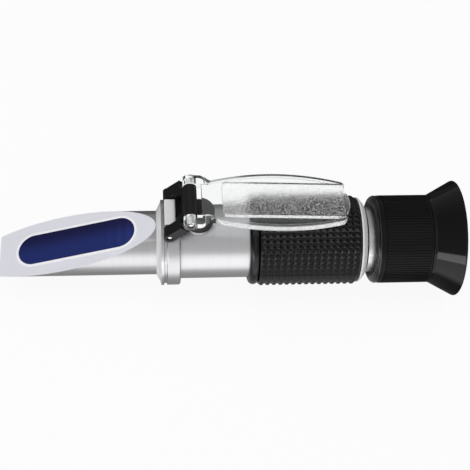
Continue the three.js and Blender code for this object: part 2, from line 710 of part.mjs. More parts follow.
function calibrationScrew() {
  const headBottom = screwSeat.headFloor + turnedGap;
  const headTop = headBottom + screw.headHeight;
  const body = turnedUpright([
    [screw.tipBottom, 0], [screw.tipBottom, screw.tipRadius],
    [screwSeat.neckBottom, screw.tipRadius], [screwSeat.neckBottom, screw.shankRadius],
    [headBottom, screw.shankRadius], [headBottom, screw.headRadius],
    [headTop, screw.headRadius], [headTop, 0],
  ], screwX, smallSides);
  const slot = boxBetween(
    [screwX - screw.headRadius - overrun, screwX + screw.headRadius + overrun],
    [-screw.slotWidth / 2, screw.slotWidth / 2], [headTop - screw.slotDepth, headTop + overrun],
  );
  return cut(body, slot);
}

function calibrationCap() {
  const bottom = screwSeat.flangeTop + turnedGap;
  const roof = bottom + cap.skirtDepth;
  const inner = screwSeat.collarRadius + turnedGap;
  const shoulder = cap.top - cap.crown - cap.topRound;
  return turnedUpright([
    [roof, 0], [roof, inner], [bottom, inner], [bottom, cap.radius], [shoulder, cap.radius],
    ...arc([shoulder, cap.radius - cap.topRound], cap.topRound, 1, 0).slice(1), [cap.top, 0],
  ], screwX);
}

function bimetalStrip() {
  const body = boxBetween(
    [stripFront, stripRear], [-strip.halfWidth, strip.halfWidth],
    [strip.height - strip.thickness, strip.height],
  );
  return cut(body, rodAlongZ(rivetX, strip.height * 2, 0, holeRadius(rivet.radius + faceGap, smallSides)));
}

function bimetalRivet() {
  const head = strip.height + faceGap;
  return turnedUpright([
    [rivet.footGap - tube.bore, 0], [rivet.footGap - tube.bore, rivet.radius], [head, rivet.radius],
    [head, rivet.headRadius], [head + rivet.headHeight, rivet.headRadius], [head + rivet.headHeight, 0],
  ], rivetX, smallSides);
}

function fieldStopDisc() {
  const front = stripRear + fieldStop.standOff;
  return tubeBetween(front, front + fieldStop.thickness, tubeInnerRadius, fieldStop.bore);
}

const holderFront = tubeRear - reticleHolder.setback;
const reticleFront = holderFront + reticleHolder.lipWidth + faceGap;

function reticleHolderRing() {
  const lipRear = holderFront + reticleHolder.lipWidth;
  const seatRadius = reticle.radius + innerFit;
  return turned([
    [holderFront, reticleHolder.lipBore], [holderFront, tubeInnerRadius],
    [holderFront + reticleHolder.length, tubeInnerRadius], [holderFront + reticleHolder.length, seatRadius],
    [lipRear, seatRadius], [lipRear, reticleHolder.lipBore],
  ]);
}

// Materials: colour, roughness and metalness as the pieces look
function finish(color, roughness, metalness, opacity = 1) {
  return new THREE.MeshStandardMaterial({
    color, roughness, metalness, opacity, transparent: opacity < 1, flatShading: true,
  });
}

function satinMetal() {
  return finish(0xb4b5b8, 0.38, 1);
}

function brightMetal() {
  return finish(0xd2d3d6, 0.25, 1);
}

function blackAnodised() {
  return finish(0x1c1c1e, 0.6, 0.6);
}

function blackPlastic() {
  return finish(0x19191a, 0.45, 0);
}

function blackRubber() {
  return finish(0x161617, 0.7, 0);
}

function clearGlass() {
  return finish(0xdfe8ec, 0.05, 0, 0.4);
}

function named(name, solid, material) {
  const mesh = new THREE.Mesh(geometryOf(solid), material);
  mesh.name = name;
  return mesh;
}

const part = new THREE.Group();
const instrument = new THREE.Group();
instrument.position.set(-cupRear / 2, 0, cup.rimRadius);
part.add(instrument);

// Nose, collar and tube
instrument.add(
  named("prism_housing", prismHousing(), satinMetal()),
  named("main_prism", mainPrism(), finish(0x262b60, 0.06, 0)),
  named("prism_seal", prismSeal(), finish(0xe6e6ee, 0.5, 0)),
  named("hinge_collar", hingeCollar(), satinMetal()),
  named("main_tube", mainTube(), satinMetal()),
  named("rubber_grip", rubberGrip(), blackRubber()),
  named("tube_end_ring", tubeEndRing(), brightMetal()),
  named("eyepiece_barrel", eyepieceBarrel(), brightMetal()),
  named("focus_o_ring", focusORing(), blackRubber()),
  named("barrel_stop_ring", barrelStopRing(), blackAnodised()),
);

// Calibration parts
instrument.add(
  named("calibration_boss", calibrationBoss(), satinMetal()),
  named("calibration_screw", calibrationScrew(), finish(0xc9b37a, 0.35, 1)),
  named("calibration_cap", calibrationCap(), blackRubber()),
  named("objective_cell", objectiveCell(), blackAnodised()),
  named("objective_lens", lens(objectiveLensFront, objectiveLens), clearGlass()),
  named("objective_retaining_ring", tubeBetween(
    objectiveRingFront, objectiveRingFront + objectiveRing.width, objectiveRing.radius, objectiveRing.bore,
  ), blackAnodised()),
  named("bimetal_strip", bimetalStrip(), finish(0xa8874f, 0.45, 1)),
  named("bimetal_rivet", bimetalRivet(), brightMetal()),
);

// Field stop and reticle
const reticleRear = reticleFront + reticle.thickness;
const clampFront = reticleRear + faceGap;
instrument.add(
  named("field_stop", fieldStopDisc(), blackAnodised()),
  named("reticle_holder", reticleHolderRing(), blackAnodised()),
  named("reticle_plate", rodAlongX(reticleFront, reticleRear, reticle.radius), clearGlass()),
  named("reticle_clamp_ring", tubeBetween(
    clampFront, clampFront + reticleHolder.clampWidth, reticle.radius, reticleHolder.lipBore,
  ), blackAnodised()),
);

// Focus ring, eyecup and the sliding eyepiece
instrument.add(
  named("focus_ring", focusRing(), blackPlastic()),
  named("eyecup", eyecup(), blackRubber()),
  named("eyepiece_cell", eyepieceCell(), blackAnodised()),
  named("field_lens", lens(fieldLensFront, fieldLens), clearGlass()),
  named("lens_spacer", tubeBetween(
    fieldLensRear + faceGap, eyeLensFrontEdge - faceGap, spacer.radius, spacer.bore,
  ), blackAnodised()),
  named("eye_lens", lens(eyeLensFrontEdge - eyeLens.sag, eyeLens), clearGlass()),
  named("eyepiece_retaining_ring", tubeBetween(
    eyeRingFront, cellRear, eyeRing.radius, eyeRing.bore,
  ), blackAnodised()),
  named("eyepiece_guide_pin", eyepieceGuidePin(), brightMetal()),
);

// Hinge: the link leans back from the collar, and the lid lies back from the link
const linkTurn = THREE.MathUtils.degToRad(link.openAngle);
const linkGroup = new THREE.Group();
linkGroup.position.set(link.pinX, 0, link.pinHeight);
linkGroup.rotation.y = -linkTurn;
const pinHalf = link.halfWidth - hingePin.recess;
linkGroup.add(
  named("hinge_bracket", hingeBracket(), blackPlastic()),
  named("bracket_pin", rodAlongY(0, 0, pinHalf, hingePin.radius), brightMetal()),
);
const lidGroup = new THREE.Group();
lidGroup.position.set(
  link.pinX + link.pinSpacing * Math.cos(linkTurn), 0, link.pinHeight + link.pinSpacing * Math.sin(linkTurn),
);
lidGroup.rotation.y = -THREE.MathUtils.degToRad(lid.openTilt);
lidGroup.add(
  named("daylight_plate", daylightPlate(), clearGlass()),
  named("lid_pin", rodAlongY(0, 0, pinHalf, hingePin.radius), brightMetal()),
);
instrument.add(linkGroup, lidGroup);

export default part;
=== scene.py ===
"""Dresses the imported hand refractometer: pieces, finishes, stage and camera."""
import math
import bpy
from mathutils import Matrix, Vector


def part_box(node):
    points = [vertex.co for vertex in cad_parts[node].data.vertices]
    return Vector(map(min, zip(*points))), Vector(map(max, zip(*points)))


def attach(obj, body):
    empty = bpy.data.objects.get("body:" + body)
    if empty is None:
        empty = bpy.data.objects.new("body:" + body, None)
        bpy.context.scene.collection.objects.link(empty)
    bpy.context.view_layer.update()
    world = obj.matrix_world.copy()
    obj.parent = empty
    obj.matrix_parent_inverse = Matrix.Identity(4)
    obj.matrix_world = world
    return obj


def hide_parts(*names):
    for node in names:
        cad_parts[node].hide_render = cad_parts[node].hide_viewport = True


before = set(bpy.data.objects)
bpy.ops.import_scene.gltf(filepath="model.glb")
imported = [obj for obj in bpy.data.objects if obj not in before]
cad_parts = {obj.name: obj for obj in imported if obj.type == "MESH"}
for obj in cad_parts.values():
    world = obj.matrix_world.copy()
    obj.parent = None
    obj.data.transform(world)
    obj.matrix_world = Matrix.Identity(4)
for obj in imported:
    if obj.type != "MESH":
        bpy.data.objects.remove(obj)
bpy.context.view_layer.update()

from types import SimpleNamespace

import bmesh
import bpy
from mathutils import Matrix, Vector

bl_info = {
    "name": "Hand Refractometer",
    "version": (1, 0, 0),
    "blender": (4, 5, 0),
    "location": "View3D > Sidebar > Refractometer",
    "description": "Models the dressed pieces of a hand refractometer round its fixed frame",
    "category": "Object",
}

# Pieces are drawn in millimetres in the instrument's own frame: the optical axis is X, and the nose
# starts at zero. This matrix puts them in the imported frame.
MM = 0.001
NOSE_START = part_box("prism_housing")[0].x
AXIS_HEIGHT = sum(corner.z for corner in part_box("eyecup")) / 2
PLACE = Matrix.Translation((NOSE_START, 0, AXIS_HEIGHT)) @ Matrix.Scale(MM, 4)
TO_MM = PLACE.inverted()


def reach(node):
    """Where a CAD node starts and ends along the optical axis, in millimetres."""
    low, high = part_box(node)
    return (TO_MM @ low).x, (TO_MM @ high).x


def middle(node):
    """The middle of a CAD node in the instrument's frame, in millimetres."""
    low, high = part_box(node)
    return TO_MM @ ((low + high) / 2)


LINK_PIN = middle("bracket_pin")
LID_PIN = middle("lid_pin")
LINK_ANGLE = math.atan2(LID_PIN.z - LINK_PIN.z, LID_PIN.x - LINK_PIN.x)
SCREW_X = middle("calibration_cap").x


# Solids

ROUND_SIDES = 128
SMALL_SIDES = 48

# How far cutting shapes reach past what they cut, in millimetres
OVERRUN, PAST, WELL_PAST = 2, 5, 20


def arc(centre, radius, start, end, steps=6):
    """Points of an arc from one angle to another, in degrees. An ellipse has a pair of radii."""
    wide, tall = radius if isinstance(radius, tuple) else (radius, radius)
    turn = [math.radians(start + (end - start) * i / steps) for i in range(steps + 1)]
    return [(centre[0] + wide * math.cos(a), centre[1] + tall * math.sin(a)) for a in turn]


def turned(profile, axis="X", at=(0, 0, 0), sides=ROUND_SIDES):
    """A closed solid from a profile of (place along the axis, radius) pairs."""
    along, out = {
        "X": (Vector((1, 0, 0)), Vector((0, 0, 1))),
        "Y": (Vector((0, 1, 0)), Vector((1, 0, 0))),
        "Z": (Vector((0, 0, 1)), Vector((1, 0, 0))),
    }[axis]
    shape = bmesh.new()
    corners = [shape.verts.new(Vector(at) + along * a + out * r) for a, r in profile]
    pairs = list(zip(corners, corners[1:]))
    if profile[0][1] > 0:
        pairs.append((corners[-1], corners[0]))
    for pair in pairs:
        shape.edges.new(pair)
    bmesh.ops.spin(
        shape, geom=shape.verts[:] + shape.edges[:], cent=at, axis=along, angle=math.tau,
        steps=sides, use_merge=True,
    )
    bmesh.ops.remove_doubles(shape, verts=shape.verts, dist=1e-4)
    bmesh.ops.recalc_face_normals(shape, faces=shape.faces)
    return shape


def lift(shape, faces, step):
    """Extrudes faces by a step, into a closed solid."""
    made = bmesh.ops.extrude_face_region(shape, geom=faces)["geom"]
    corners = [v for v in made if isinstance(v, bmesh.types.BMVert)]
    bmesh.ops.translate(shape, verts=corners, vec=step)
    bmesh.ops.recalc_face_normals(shape, faces=shape.faces)


def extruded(points, low, high, flat=True):
    """A closed solid from an outline: in X and Y between two heights, or in X and Z across Y."""
    shape = bmesh.new()
    corners = [shape.verts.new((u, v, low) if flat else (u, low, v)) for u, v in points]
    face = shape.faces.new(corners)
    lift(shape, [face], (0, 0, high - low) if flat else (0, high - low, 0))
    return shape


def block(x, y, z):
    """A box between pairs of places on X, Y and Z."""
    return extruded([(x[0], y[0]), (x[1], y[0]), (x[1], y[1]), (x[0], y[1])], z[0], z[1])


def rod(at, half, radius, sides=SMALL_SIDES):
    """A rod across Y."""
    return turned([(-half, 0), (-half, radius), (half, radius), (half, 0)], "Y", at, sides)


def combined(first, second, operation):
    """Two solids joined or cut by Blender's exact boolean."""
    holders = []
    for shape in (first, second):
        mesh = bpy.data.meshes.new("shape")
        shape.to_mesh(mesh)
        shape.free()
        holders.append(bpy.data.objects.new("shape", mesh))
        bpy.context.scene.collection.objects.link(holders[-1])
    boolean = holders[0].modifiers.new("combine", "BOOLEAN")
    boolean.operation, boolean.solver, boolean.object = operation, "EXACT", holders[1]
    result = bmesh.new()
    result.from_object(holders[0], bpy.context.evaluated_depsgraph_get())
    for holder in holders:
        bpy.data.meshes.remove(holder.data)
    bmesh.ops.remove_doubles(result, verts=result.verts, dist=1e-4)
    bmesh.ops.dissolve_limit(
        result, angle_limit=math.radians(0.2), verts=result.verts, edges=result.edges,
    )
    return result


def joined(first, *others):
    for other in others:
        first = combined(first, other, "UNION")
    return first


def cut(first, *others):
    for other in others:
        first = combined(first, other, "DIFFERENCE")
    return first


def softened(shape, width, segments=2, angle=32):
    """Bevel the edges that turn by more than an angle, in degrees."""
    edges = [
        e for e in shape.edges if e.is_manifold and e.calc_face_angle(0) > math.radians(angle)
    ]
    bmesh.ops.bevel(
        shape, geom=edges, offset=width, offset_type="OFFSET", affect="EDGES", segments=segments,
        profile=0.5, material=-1, clamp_overlap=True,
    )
    return shape


def painted(shape, slot_of):
    """Gives each face the material slot that a rule picks from the face and its middle."""
    for face in shape.faces:
        face.material_index = int(slot_of(face, face.calc_center_median()))
    return shape


def finished(name, shape, body, materials, nodes, place=None, sharp=40):
    """Makes the piece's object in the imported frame, riding on its body in place of its CAD nodes."""
    bmesh.ops.transform(shape, matrix=PLACE @ place if place else PLACE, verts=shape.verts)
    bmesh.ops.recalc_face_normals(shape, faces=shape.faces)
    open_edges = sum(not e.is_manifold for e in shape.edges)
    if open_edges:
        raise RuntimeError(f"{name} isn't closed: {open_edges} open edges")
    for face in shape.faces:
        face.smooth = True
    for line in shape.edges:
        first, second = line.link_faces
        line.smooth = (
            first.material_index == second.material_index
            and line.calc_face_angle(0) < math.radians(sharp)
        )
    mesh = bpy.data.meshes.new(name)
    shape.to_mesh(mesh)
    shape.free()
    for material in materials:
        mesh.materials.append(material)
    piece = bpy.data.objects.new(name, mesh)
    bpy.context.scene.collection.objects.link(piece)
    weights = piece.modifiers.new("face weights", "WEIGHTED_NORMAL")
    weights.keep_sharp = True
    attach(piece, body)
    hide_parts(*nodes)
    return piece


# Finishes


def node(tree, kind, inputs=None, **settings):
    """A shader node with its settings and inputs: values, or sockets to link."""
    made = tree.nodes.new("ShaderNode" + kind)
    for key, value in settings.items():
        setattr(made, key, value)
    for key, value in (inputs or {}).items():
        if isinstance(value, bpy.types.NodeSocket):
            tree.links.new(value, made.inputs[key])
        else:
            made.inputs[key].default_value = value
    return made


def calc(tree, operation, *values, clamp=False):
    """The result of a Math node."""
    inputs = dict(enumerate(values))
    return node(tree, "Math", inputs, operation=operation, use_clamp=clamp).outputs[0]


def ramp(tree, value, start, end, low=0.0, high=1.0, kind="LINEAR"):
    """A value that goes from low to high while the given one goes from start to end."""
    inputs = {"Value": value, "From Min": start, "From Max": end, "To Min": low, "To Max": high}
    return node(tree, "MapRange", inputs, interpolation_type=kind).outputs[0]


# A Mix node's two value inputs and its result, by kind
MIX_SOCKETS = {"FLOAT": (2, 3, 0), "RGBA": (6, 7, 2)}


def mix(tree, factor, first, second, kind="FLOAT"):
    """The result of a Mix node."""
    one, other, result = MIX_SOCKETS[kind]
    return node(tree, "Mix", {"Factor": factor, one: first, other: second}, data_type=kind).outputs[result]


def new_material(name):
    """A material, its node tree and its shader."""
    material = bpy.data.materials.new(name)
    material.use_nodes = True
    return material, material.node_tree, material.node_tree.nodes["Principled BSDF"]


def tones():
    return bpy.context.scene.refractometer_colours


def new_group(name, inputs, outputs):
    """An empty node group with named sockets, and its input and output nodes."""
    tree = bpy.data.node_groups.new(name, "ShaderNodeTree")
    for label, kind, value in inputs:
        socket = tree.interface.new_socket(label, in_out="INPUT", socket_type="NodeSocket" + kind)
        socket.default_value = value
    for label, kind in outputs:
        tree.interface.new_socket(label, in_out="OUTPUT", socket_type="NodeSocket" + kind)
    return tree, tree.nodes.new("NodeGroupInput").outputs, tree.nodes.new("NodeGroupOutput").inputs


def grain_group():
    """Fine pits and bumps, as on moulded rubber and blasted metal."""
    if "surface_grain" in bpy.data.node_groups:
        return bpy.data.node_groups["surface_grain"]
    tree, given, result = new_group(
        "surface_grain",
        [("Size", "Float", 0.0004), ("Roughness", "Float", 0.5)],
        [("Height", "Float"), ("Mask", "Float")],
    )
    place = node(tree, "TexCoord").outputs["Object"]
    scale = calc(tree, "DIVIDE", 1.0, given["Size"])
    coarse = node(tree, "TexNoise", {
        "Vector": place, "Scale": scale, "Detail": 3.0, "Roughness": given["Roughness"],
    })
    tree.links.new(coarse.outputs["Fac"], result["Height"])
    patches = calc(tree, "MULTIPLY", scale, 0.12)
    broad = node(tree, "TexNoise", {"Vector": place, "Scale": patches, "Detail": 2.0})
    tree.links.new(broad.outputs["Fac"], result["Mask"])
    return tree


def ring_group():
    """Fine rings round the optical axis, as a lathe tool leaves them."""
    if "turned_rings" in bpy.data.node_groups:
        return bpy.data.node_groups["turned_rings"]
    tree, given, result = new_group(
        "turned_rings",
        [("Pitch", "Float", 0.0002), ("Wander", "Float", 0.3)],
        [("Height", "Float"), ("Mask", "Float")],
    )
    place = node(tree, "TexCoord").outputs["Object"]
    along = node(tree, "SeparateXYZ", {0: place}).outputs["X"]
    count = calc(tree, "DIVIDE", along, given["Pitch"])
    drift = node(tree, "TexNoise", {"Vector": place, "Scale": 60.0, "Detail": 2.0}).outputs["Fac"]
    shifted = calc(tree, "MULTIPLY_ADD", drift, given["Wander"], count)
    fine = node(tree, "TexNoise", {"W": shifted, "Scale": 1.0, "Detail": 3.0}, noise_dimensions="1D")
    tree.links.new(fine.outputs["Fac"], result["Height"])
    slow = calc(tree, "MULTIPLY", shifted, 0.15)
    broad = node(tree, "TexNoise", {"W": slow, "Scale": 1.0, "Detail": 1.0}, noise_dimensions="1D")
    tree.links.new(broad.outputs["Fac"], result["Mask"])
    return tree


def speck_glint_group():
    """Fine specks on frosted plastic, which glow: painted glints."""
    if "frost_speck_glints" in bpy.data.node_groups:
        return bpy.data.node_groups["frost_speck_glints"]
    tree, given, result = new_group(
        "frost_speck_glints", [("Size", "Float", 0.0005), ("Glow", "Float", 0.2)],
        [("Specks", "Float"), ("Painted Glint", "Color")],
    )
    place = node(tree, "TexCoord").outputs["Object"]
    scale = calc(tree, "DIVIDE", 1.0, given["Size"])
    fine = node(tree, "TexNoise", {"Vector": place, "Scale": scale, "Detail": 1.0}).outputs["Fac"]
    specks = ramp(tree, fine, 0.5, 0.56)
    tree.links.new(specks, result["Specks"])
    level = calc(tree, "MULTIPLY", specks, given["Glow"])
    speck_glints = node(tree, "CombineXYZ", {0: level, 1: level, 2: level}).outputs[0]
    tree.links.new(speck_glints, result["Painted Glint"])
    return tree


def wear_and_edge_highlight_group():
    """Handling marks: colour and roughness vary in patches, and exposed edges are lighter, partly wear and
    partly a painted highlight.
    """
    if "handling_wear_and_edge_highlight" in bpy.data.node_groups:
        return bpy.data.node_groups["handling_wear_and_edge_highlight"]
    tree, given, result = new_group(
        "handling_wear_and_edge_highlight",
        [
            ("Colour", "Color", (0.5, 0.5, 0.5, 1)), ("Edge Wear And Highlight Colour", "Color", (0.8, 0.8, 0.8, 1)),
            ("Edge Wear And Highlight Amount", "Float", 0.2), ("Pattern", "Float", 0.5), ("Variation", "Float", 0.1),
            ("Roughness", "Float", 0.4), ("Roughness Spread", "Float", 0.1),
        ],
        [("Colour", "Color"), ("Roughness", "Float")],
    )
    place = node(tree, "TexCoord").outputs["Object"]
    smears = node(tree, "TexNoise", {"Vector": place, "Scale": 45.0, "Detail": 4.0}).outputs["Fac"]
    spread = ramp(tree, smears, 0.3, 0.7)
    tint = calc(tree, "SUBTRACT", given["Pattern"], 0.5)
    gain = calc(tree, "MULTIPLY_ADD", tint, given["Variation"], 1.0)
    toned = node(tree, "VectorMath", {0: given["Colour"], "Scale": gain}, operation="SCALE").outputs[0]
    # Exposed edges turn lighter through Pointiness: partly wear, partly a painted highlight.
    point = node(tree, "NewGeometry").outputs["Pointiness"]
    edge_wear_and_highlight = calc(tree, "MULTIPLY", ramp(tree, point, 0.52, 0.62), given["Edge Wear And Highlight Amount"])
    colour = mix(tree, edge_wear_and_highlight, toned, given["Edge Wear And Highlight Colour"], kind="RGBA")
    tree.links.new(colour, result["Colour"])
    centred = calc(tree, "SUBTRACT", spread, 0.5)
    rough = calc(tree, "MULTIPLY_ADD", centred, given["Roughness Spread"], given["Roughness"], clamp=True)
    tree.links.new(rough, result["Roughness"])
    return tree


def group_node(tree, group, values):
    made = tree.nodes.new("ShaderNodeGroup")
    made.node_tree = group
    for key, value in values.items():
        if isinstance(value, bpy.types.NodeSocket):
            tree.links.new(value, made.inputs[key])
        else:
            made.inputs[key].default_value = value
    return made.outputs


def finish(
    name, colour, roughness, metallic=0.0, grain=0.0003, grain_depth=0.02, rings=0.0, ring_depth=0.0,
    variation=0.15, spread=0.1, edge=0.15, edge_wear_and_highlight_colour=(0.8, 0.8, 0.82), **shader_values,
):
    """A solid surface: grain or turned rings under handling wear and painted edge highlights. Depths are in
    millimetres.
    """
    if name in bpy.data.materials:
        return bpy.data.materials[name]
    material, tree, shader = new_material(name)
    pits = group_node(tree, grain_group(), {"Size": grain})
    bump = node(tree, "Bump", {"Height": pits["Height"], "Strength": 1.0, "Distance": grain_depth * MM})
    pattern = pits["Mask"]
    if rings:
        lines = group_node(tree, ring_group(), {"Pitch": rings})
        bump = node(tree, "Bump", {
            "Height": lines["Height"], "Strength": 1.0, "Distance": ring_depth * MM,
            "Normal": bump.outputs[0],
        })
        pattern = lines["Mask"]
    wear_and_highlight = group_node(tree, wear_and_edge_highlight_group(), {
        "Colour": (*colour, 1), "Edge Wear And Highlight Colour": (*edge_wear_and_highlight_colour, 1), "Edge Wear And Highlight Amount": edge, "Pattern": pattern,
        "Variation": variation, "Roughness": roughness, "Roughness Spread": spread,
    })
    tree.links.new(wear_and_highlight["Colour"], shader.inputs["Base Color"])
    tree.links.new(wear_and_highlight["Roughness"], shader.inputs["Roughness"])
    tree.links.new(bump.outputs[0], shader.inputs["Normal"])
    shader.inputs["Metallic"].default_value = metallic
    for key, value in shader_values.items():
        shader.inputs[key.replace("_", " ")].default_value = value
    return material


def clear(name, colour, roughness, frost=0.0, frost_size=0.0003, ior=1.49, specks=0.0):
    """Clear plastic or glass, which lets light through to what it covers."""
    if name in bpy.data.materials:
        return bpy.data.materials[name]
    material, tree, shader = new_material(name)
    pits = group_node(tree, grain_group(), {"Size": frost_size if frost else 0.002, "Roughness": 0.6})
    bump = node(tree, "Bump", {
        "Height": pits["Height"], "Strength": 1.0, "Distance": frost * MM if frost else 0.003 * MM,
    })
    speck_glints = group_node(tree, speck_glint_group(), {"Size": specks, "Glow": 0.22}) if specks else None
    wear_and_highlight = group_node(tree, wear_and_edge_highlight_group(), {
        "Colour": (*colour, 1), "Edge Wear And Highlight Colour": (*colour, 1), "Edge Wear And Highlight Amount": 0.0,
        "Pattern": speck_glints["Specks"] if specks else pits["Height"], "Variation": 0.22 if specks else 0.02,
        "Roughness": roughness, "Roughness Spread": roughness / 2,
    })
    tree.links.new(wear_and_highlight["Colour"], shader.inputs["Base Color"])
    tree.links.new(wear_and_highlight["Roughness"], shader.inputs["Roughness"])
    tree.links.new(bump.outputs[0], shader.inputs["Normal"])
    shader.inputs["Metallic"].default_value = 0.0
    shader.inputs["Transmission Weight"].default_value = 1.0
    shader.inputs["IOR"].default_value = ior
    shader.inputs["Specular IOR Level"].default_value = 0.35
    # The specks glow through Emission: painted glints on the frosted pad.
    if specks:
        tree.links.new(speck_glints["Specks"], shader.inputs["Coat Weight"])
        tree.links.new(speck_glints["Painted Glint"], shader.inputs["Emission Color"])
        shader.inputs["Emission Strength"].default_value = 1.0
        shader.inputs["Coat Roughness"].default_value = 1.0
        shader.inputs["Coat IOR"].default_value = 4.0
    through = node(tree, "BsdfTransparent", {"Color": (0.85, 0.86, 0.88, 1)})
    shadow = node(tree, "LightPath").outputs["Is Shadow Ray"]
    mixed = node(tree, "MixShader", {0: shadow, 1: shader.outputs[0], 2: through.outputs[0]})
    tree.links.new(mixed.outputs[0], tree.nodes["Material Output"].inputs["Surface"])
    return material


def satin_metal():
    tone = tones().satin_metal
    return finish(
        "satin_aluminium", tone, 0.34, 1.0, grain=0.00035, grain_depth=0.006, rings=0.00022,
        ring_depth=0.0015, variation=0.08, spread=0.06, edge=0.4, edge_wear_and_highlight_colour=(0.9, 0.9, 0.92),
    )


def bright_metal():
    tone = tones().bright_metal
    return finish(
        "bright_aluminium", tone, 0.38, 1.0, grain=0.0003, grain_depth=0.002, rings=0.00018,
        ring_depth=0.002, variation=0.1, spread=0.06, edge=0.4, edge_wear_and_highlight_colour=(0.95, 0.95, 0.96),
    )


def milled_metal():
    # The slanted face's own milled finish, made lighter and mostly diffuse: partly a painted highlight on
    # the upturned face.
    tone = tones().milled_face_painted_light
    return finish(
        "milled_face_painted_light", tone, 0.5, 0.12, grain=0.0005, grain_depth=0.005, variation=0.05, spread=0.06,
        edge=0.0,
    )


def blasted_metal():
    tone = tones().end_ring
    return finish(
        "blasted_aluminium", tone, 0.6, 0.15, grain=0.0003, grain_depth=0.004, variation=0.08,
        spread=0.06, edge=0.5, edge_wear_and_highlight_colour=(0.95, 0.95, 0.96),
    )


def pin_steel():
    return finish(
        "ground_steel", (0.72, 0.73, 0.75), 0.28, 1.0, grain=0.0002, grain_depth=0.003, variation=0.1,
        spread=0.08, edge=0.2,
    )


def anodised_black():
    return finish(
        "black_anodised", (0.022, 0.022, 0.024), 0.55, 0.3, grain=0.0003, grain_depth=0.006,
        variation=0.3, edge=0.1, edge_wear_and_highlight_colour=(0.12, 0.12, 0.12),
    )


def bracket_plastic():
    tone = tones().bracket
    return finish(
        "bracket_moulding", tone, 0.42, grain=0.00022, grain_depth=0.012, variation=0.35, spread=0.12,
        edge=0.3, edge_wear_and_highlight_colour=(0.06, 0.06, 0.065), Specular_IOR_Level=0.3,
    )


def focus_plastic():
    tone = tones().focus_ring
    return finish(
        "focus_moulding", tone, 0.36, grain=0.0003, grain_depth=0.006, variation=0.3, spread=0.1,
        edge=0.1, edge_wear_and_highlight_colour=(0.03, 0.03, 0.033), Specular_IOR_Level=0.1,
    )


def focus_nose_plastic():
    tone = tones().focus_ring
    return finish(
        "focus_nose_moulding", tone, 0.12, grain=0.0006, grain_depth=0.002, rings=0.0004,
        ring_depth=0.008, variation=0.3, spread=0.05, edge=0.1, edge_wear_and_highlight_colour=(0.06, 0.06, 0.065),
        Specular_IOR_Level=0.6,
    )


def grip_rubber():
    tone = tones().grip
    return finish(
        "grip_moulding", tone, 0.22, grain=0.0002, grain_depth=0.006, variation=0.4, spread=0.1,
        edge=0.3, edge_wear_and_highlight_colour=(0.03, 0.03, 0.031), Specular_IOR_Level=0.3,
    )


def cap_rubber():
    tone = tones().cap
    return finish(
        "cap_moulding", tone, 0.5, grain=0.00025, grain_depth=0.012, variation=0.4, spread=0.1,
        edge=0.15, edge_wear_and_highlight_colour=(0.05, 0.05, 0.052), Specular_IOR_Level=0.3,
    )


def eyecup_rubber():
    tone = tones().eyecup
    return finish(
        "eyecup_moulding", tone, 0.1, grain=0.0008, grain_depth=0.0012, variation=0.3, spread=0.04,
        edge=0.1, edge_wear_and_highlight_colour=(0.05, 0.05, 0.055), Specular_IOR_Level=0.24,
    )


def sealant():
    return finish(
        "white_sealant", (0.96, 0.96, 0.99), 0.4, grain=0.0006, grain_depth=0.015, variation=0.05,
        edge=0.0,
    )


def brass():
    return finish(
        "turned_brass", (0.79, 0.62, 0.33), 0.3, 1.0, grain=0.0002, grain_depth=0.003, variation=0.15,
        edge=0.2,
    )


def coated_glass():
    return clear("coated_glass", (0.95, 0.97, 1.0), 0.02, ior=1.52)


def window_glass():
    """Polished prism glass over its dark blue inside, darker towards the far long side: a painted shade."""
    if "window_glass" in bpy.data.materials:
        return bpy.data.materials["window_glass"]
    near_tone, far_shade = tones().window, tones().window_far_shade
    material = finish(
        "window_glass", near_tone, 0.05, grain=0.003, grain_depth=0.0, variation=0.0, spread=0.03,
        edge=0.0,
    )
    tree = material.node_tree
    shader = tree.nodes["Principled BSDF"]
    place = node(tree, "TexCoord").outputs["Object"]
    parts = node(tree, "SeparateXYZ", {0: place}).outputs
    # The far long side is darker: painted shade.
    across = ramp(tree, parts["Y"], -0.002, 0.005, kind="SMOOTHSTEP")
    depth = mix(tree, across, (*near_tone, 1), (*far_shade, 1), kind="RGBA")
    stripes = node(tree, "TexWave", {
        "Vector": place, "Scale": 95.0, "Distortion": 1.0, "Detail": 1.0,
    }, wave_type="BANDS", bands_direction="X").outputs["Fac"]
    faint = calc(tree, "MULTIPLY", stripes, ramp(tree, parts["X"], -0.046, -0.036))
    gain = calc(tree, "MULTIPLY_ADD", faint, 0.25, 1.0)
    shown = node(tree, "VectorMath", {0: depth, "Scale": gain}, operation="SCALE").outputs[0]
    tree.links.new(shown, shader.inputs["Base Color"])
    shader.inputs["Specular IOR Level"].default_value = 0.14
    return material


# Sizes and colours a user may change


def length(name, description, default):
    return bpy.props.FloatProperty(
        name=name, description=description, default=default, min=0.0, unit="LENGTH",
    )


def colour(name, description, default):
    return bpy.props.FloatVectorProperty(
        name=name, description=description, default=default, min=0.0, max=1.0, size=3, subtype="COLOR",
    )


class RefractometerSizes(bpy.types.PropertyGroup):
    """Edge roundings and small forms of the dressed pieces"""

    metal_edge: length("Metal edge", "Width of the broken edges of metal pieces", 0.0002)
    plastic_edge: length("Plastic edge", "Width of the rounded edges of the hinge bracket", 0.00028)
    lid_edge: length("Lid edge", "Width of the rounded edges of the clear lid", 0.0003)
    stud_margin: length("Stud margin", "Flat valley round each stud of the grip", 0.00005)
    stud_slope: length("Stud slope", "How far a stud's side leans in", 0.00088)
    stud_height: length("Stud height", "Height of a stud over its valley", 0.0007)
    rib_height: length("Rib height", "Height of the ribs on the focus ring", 0.0002)


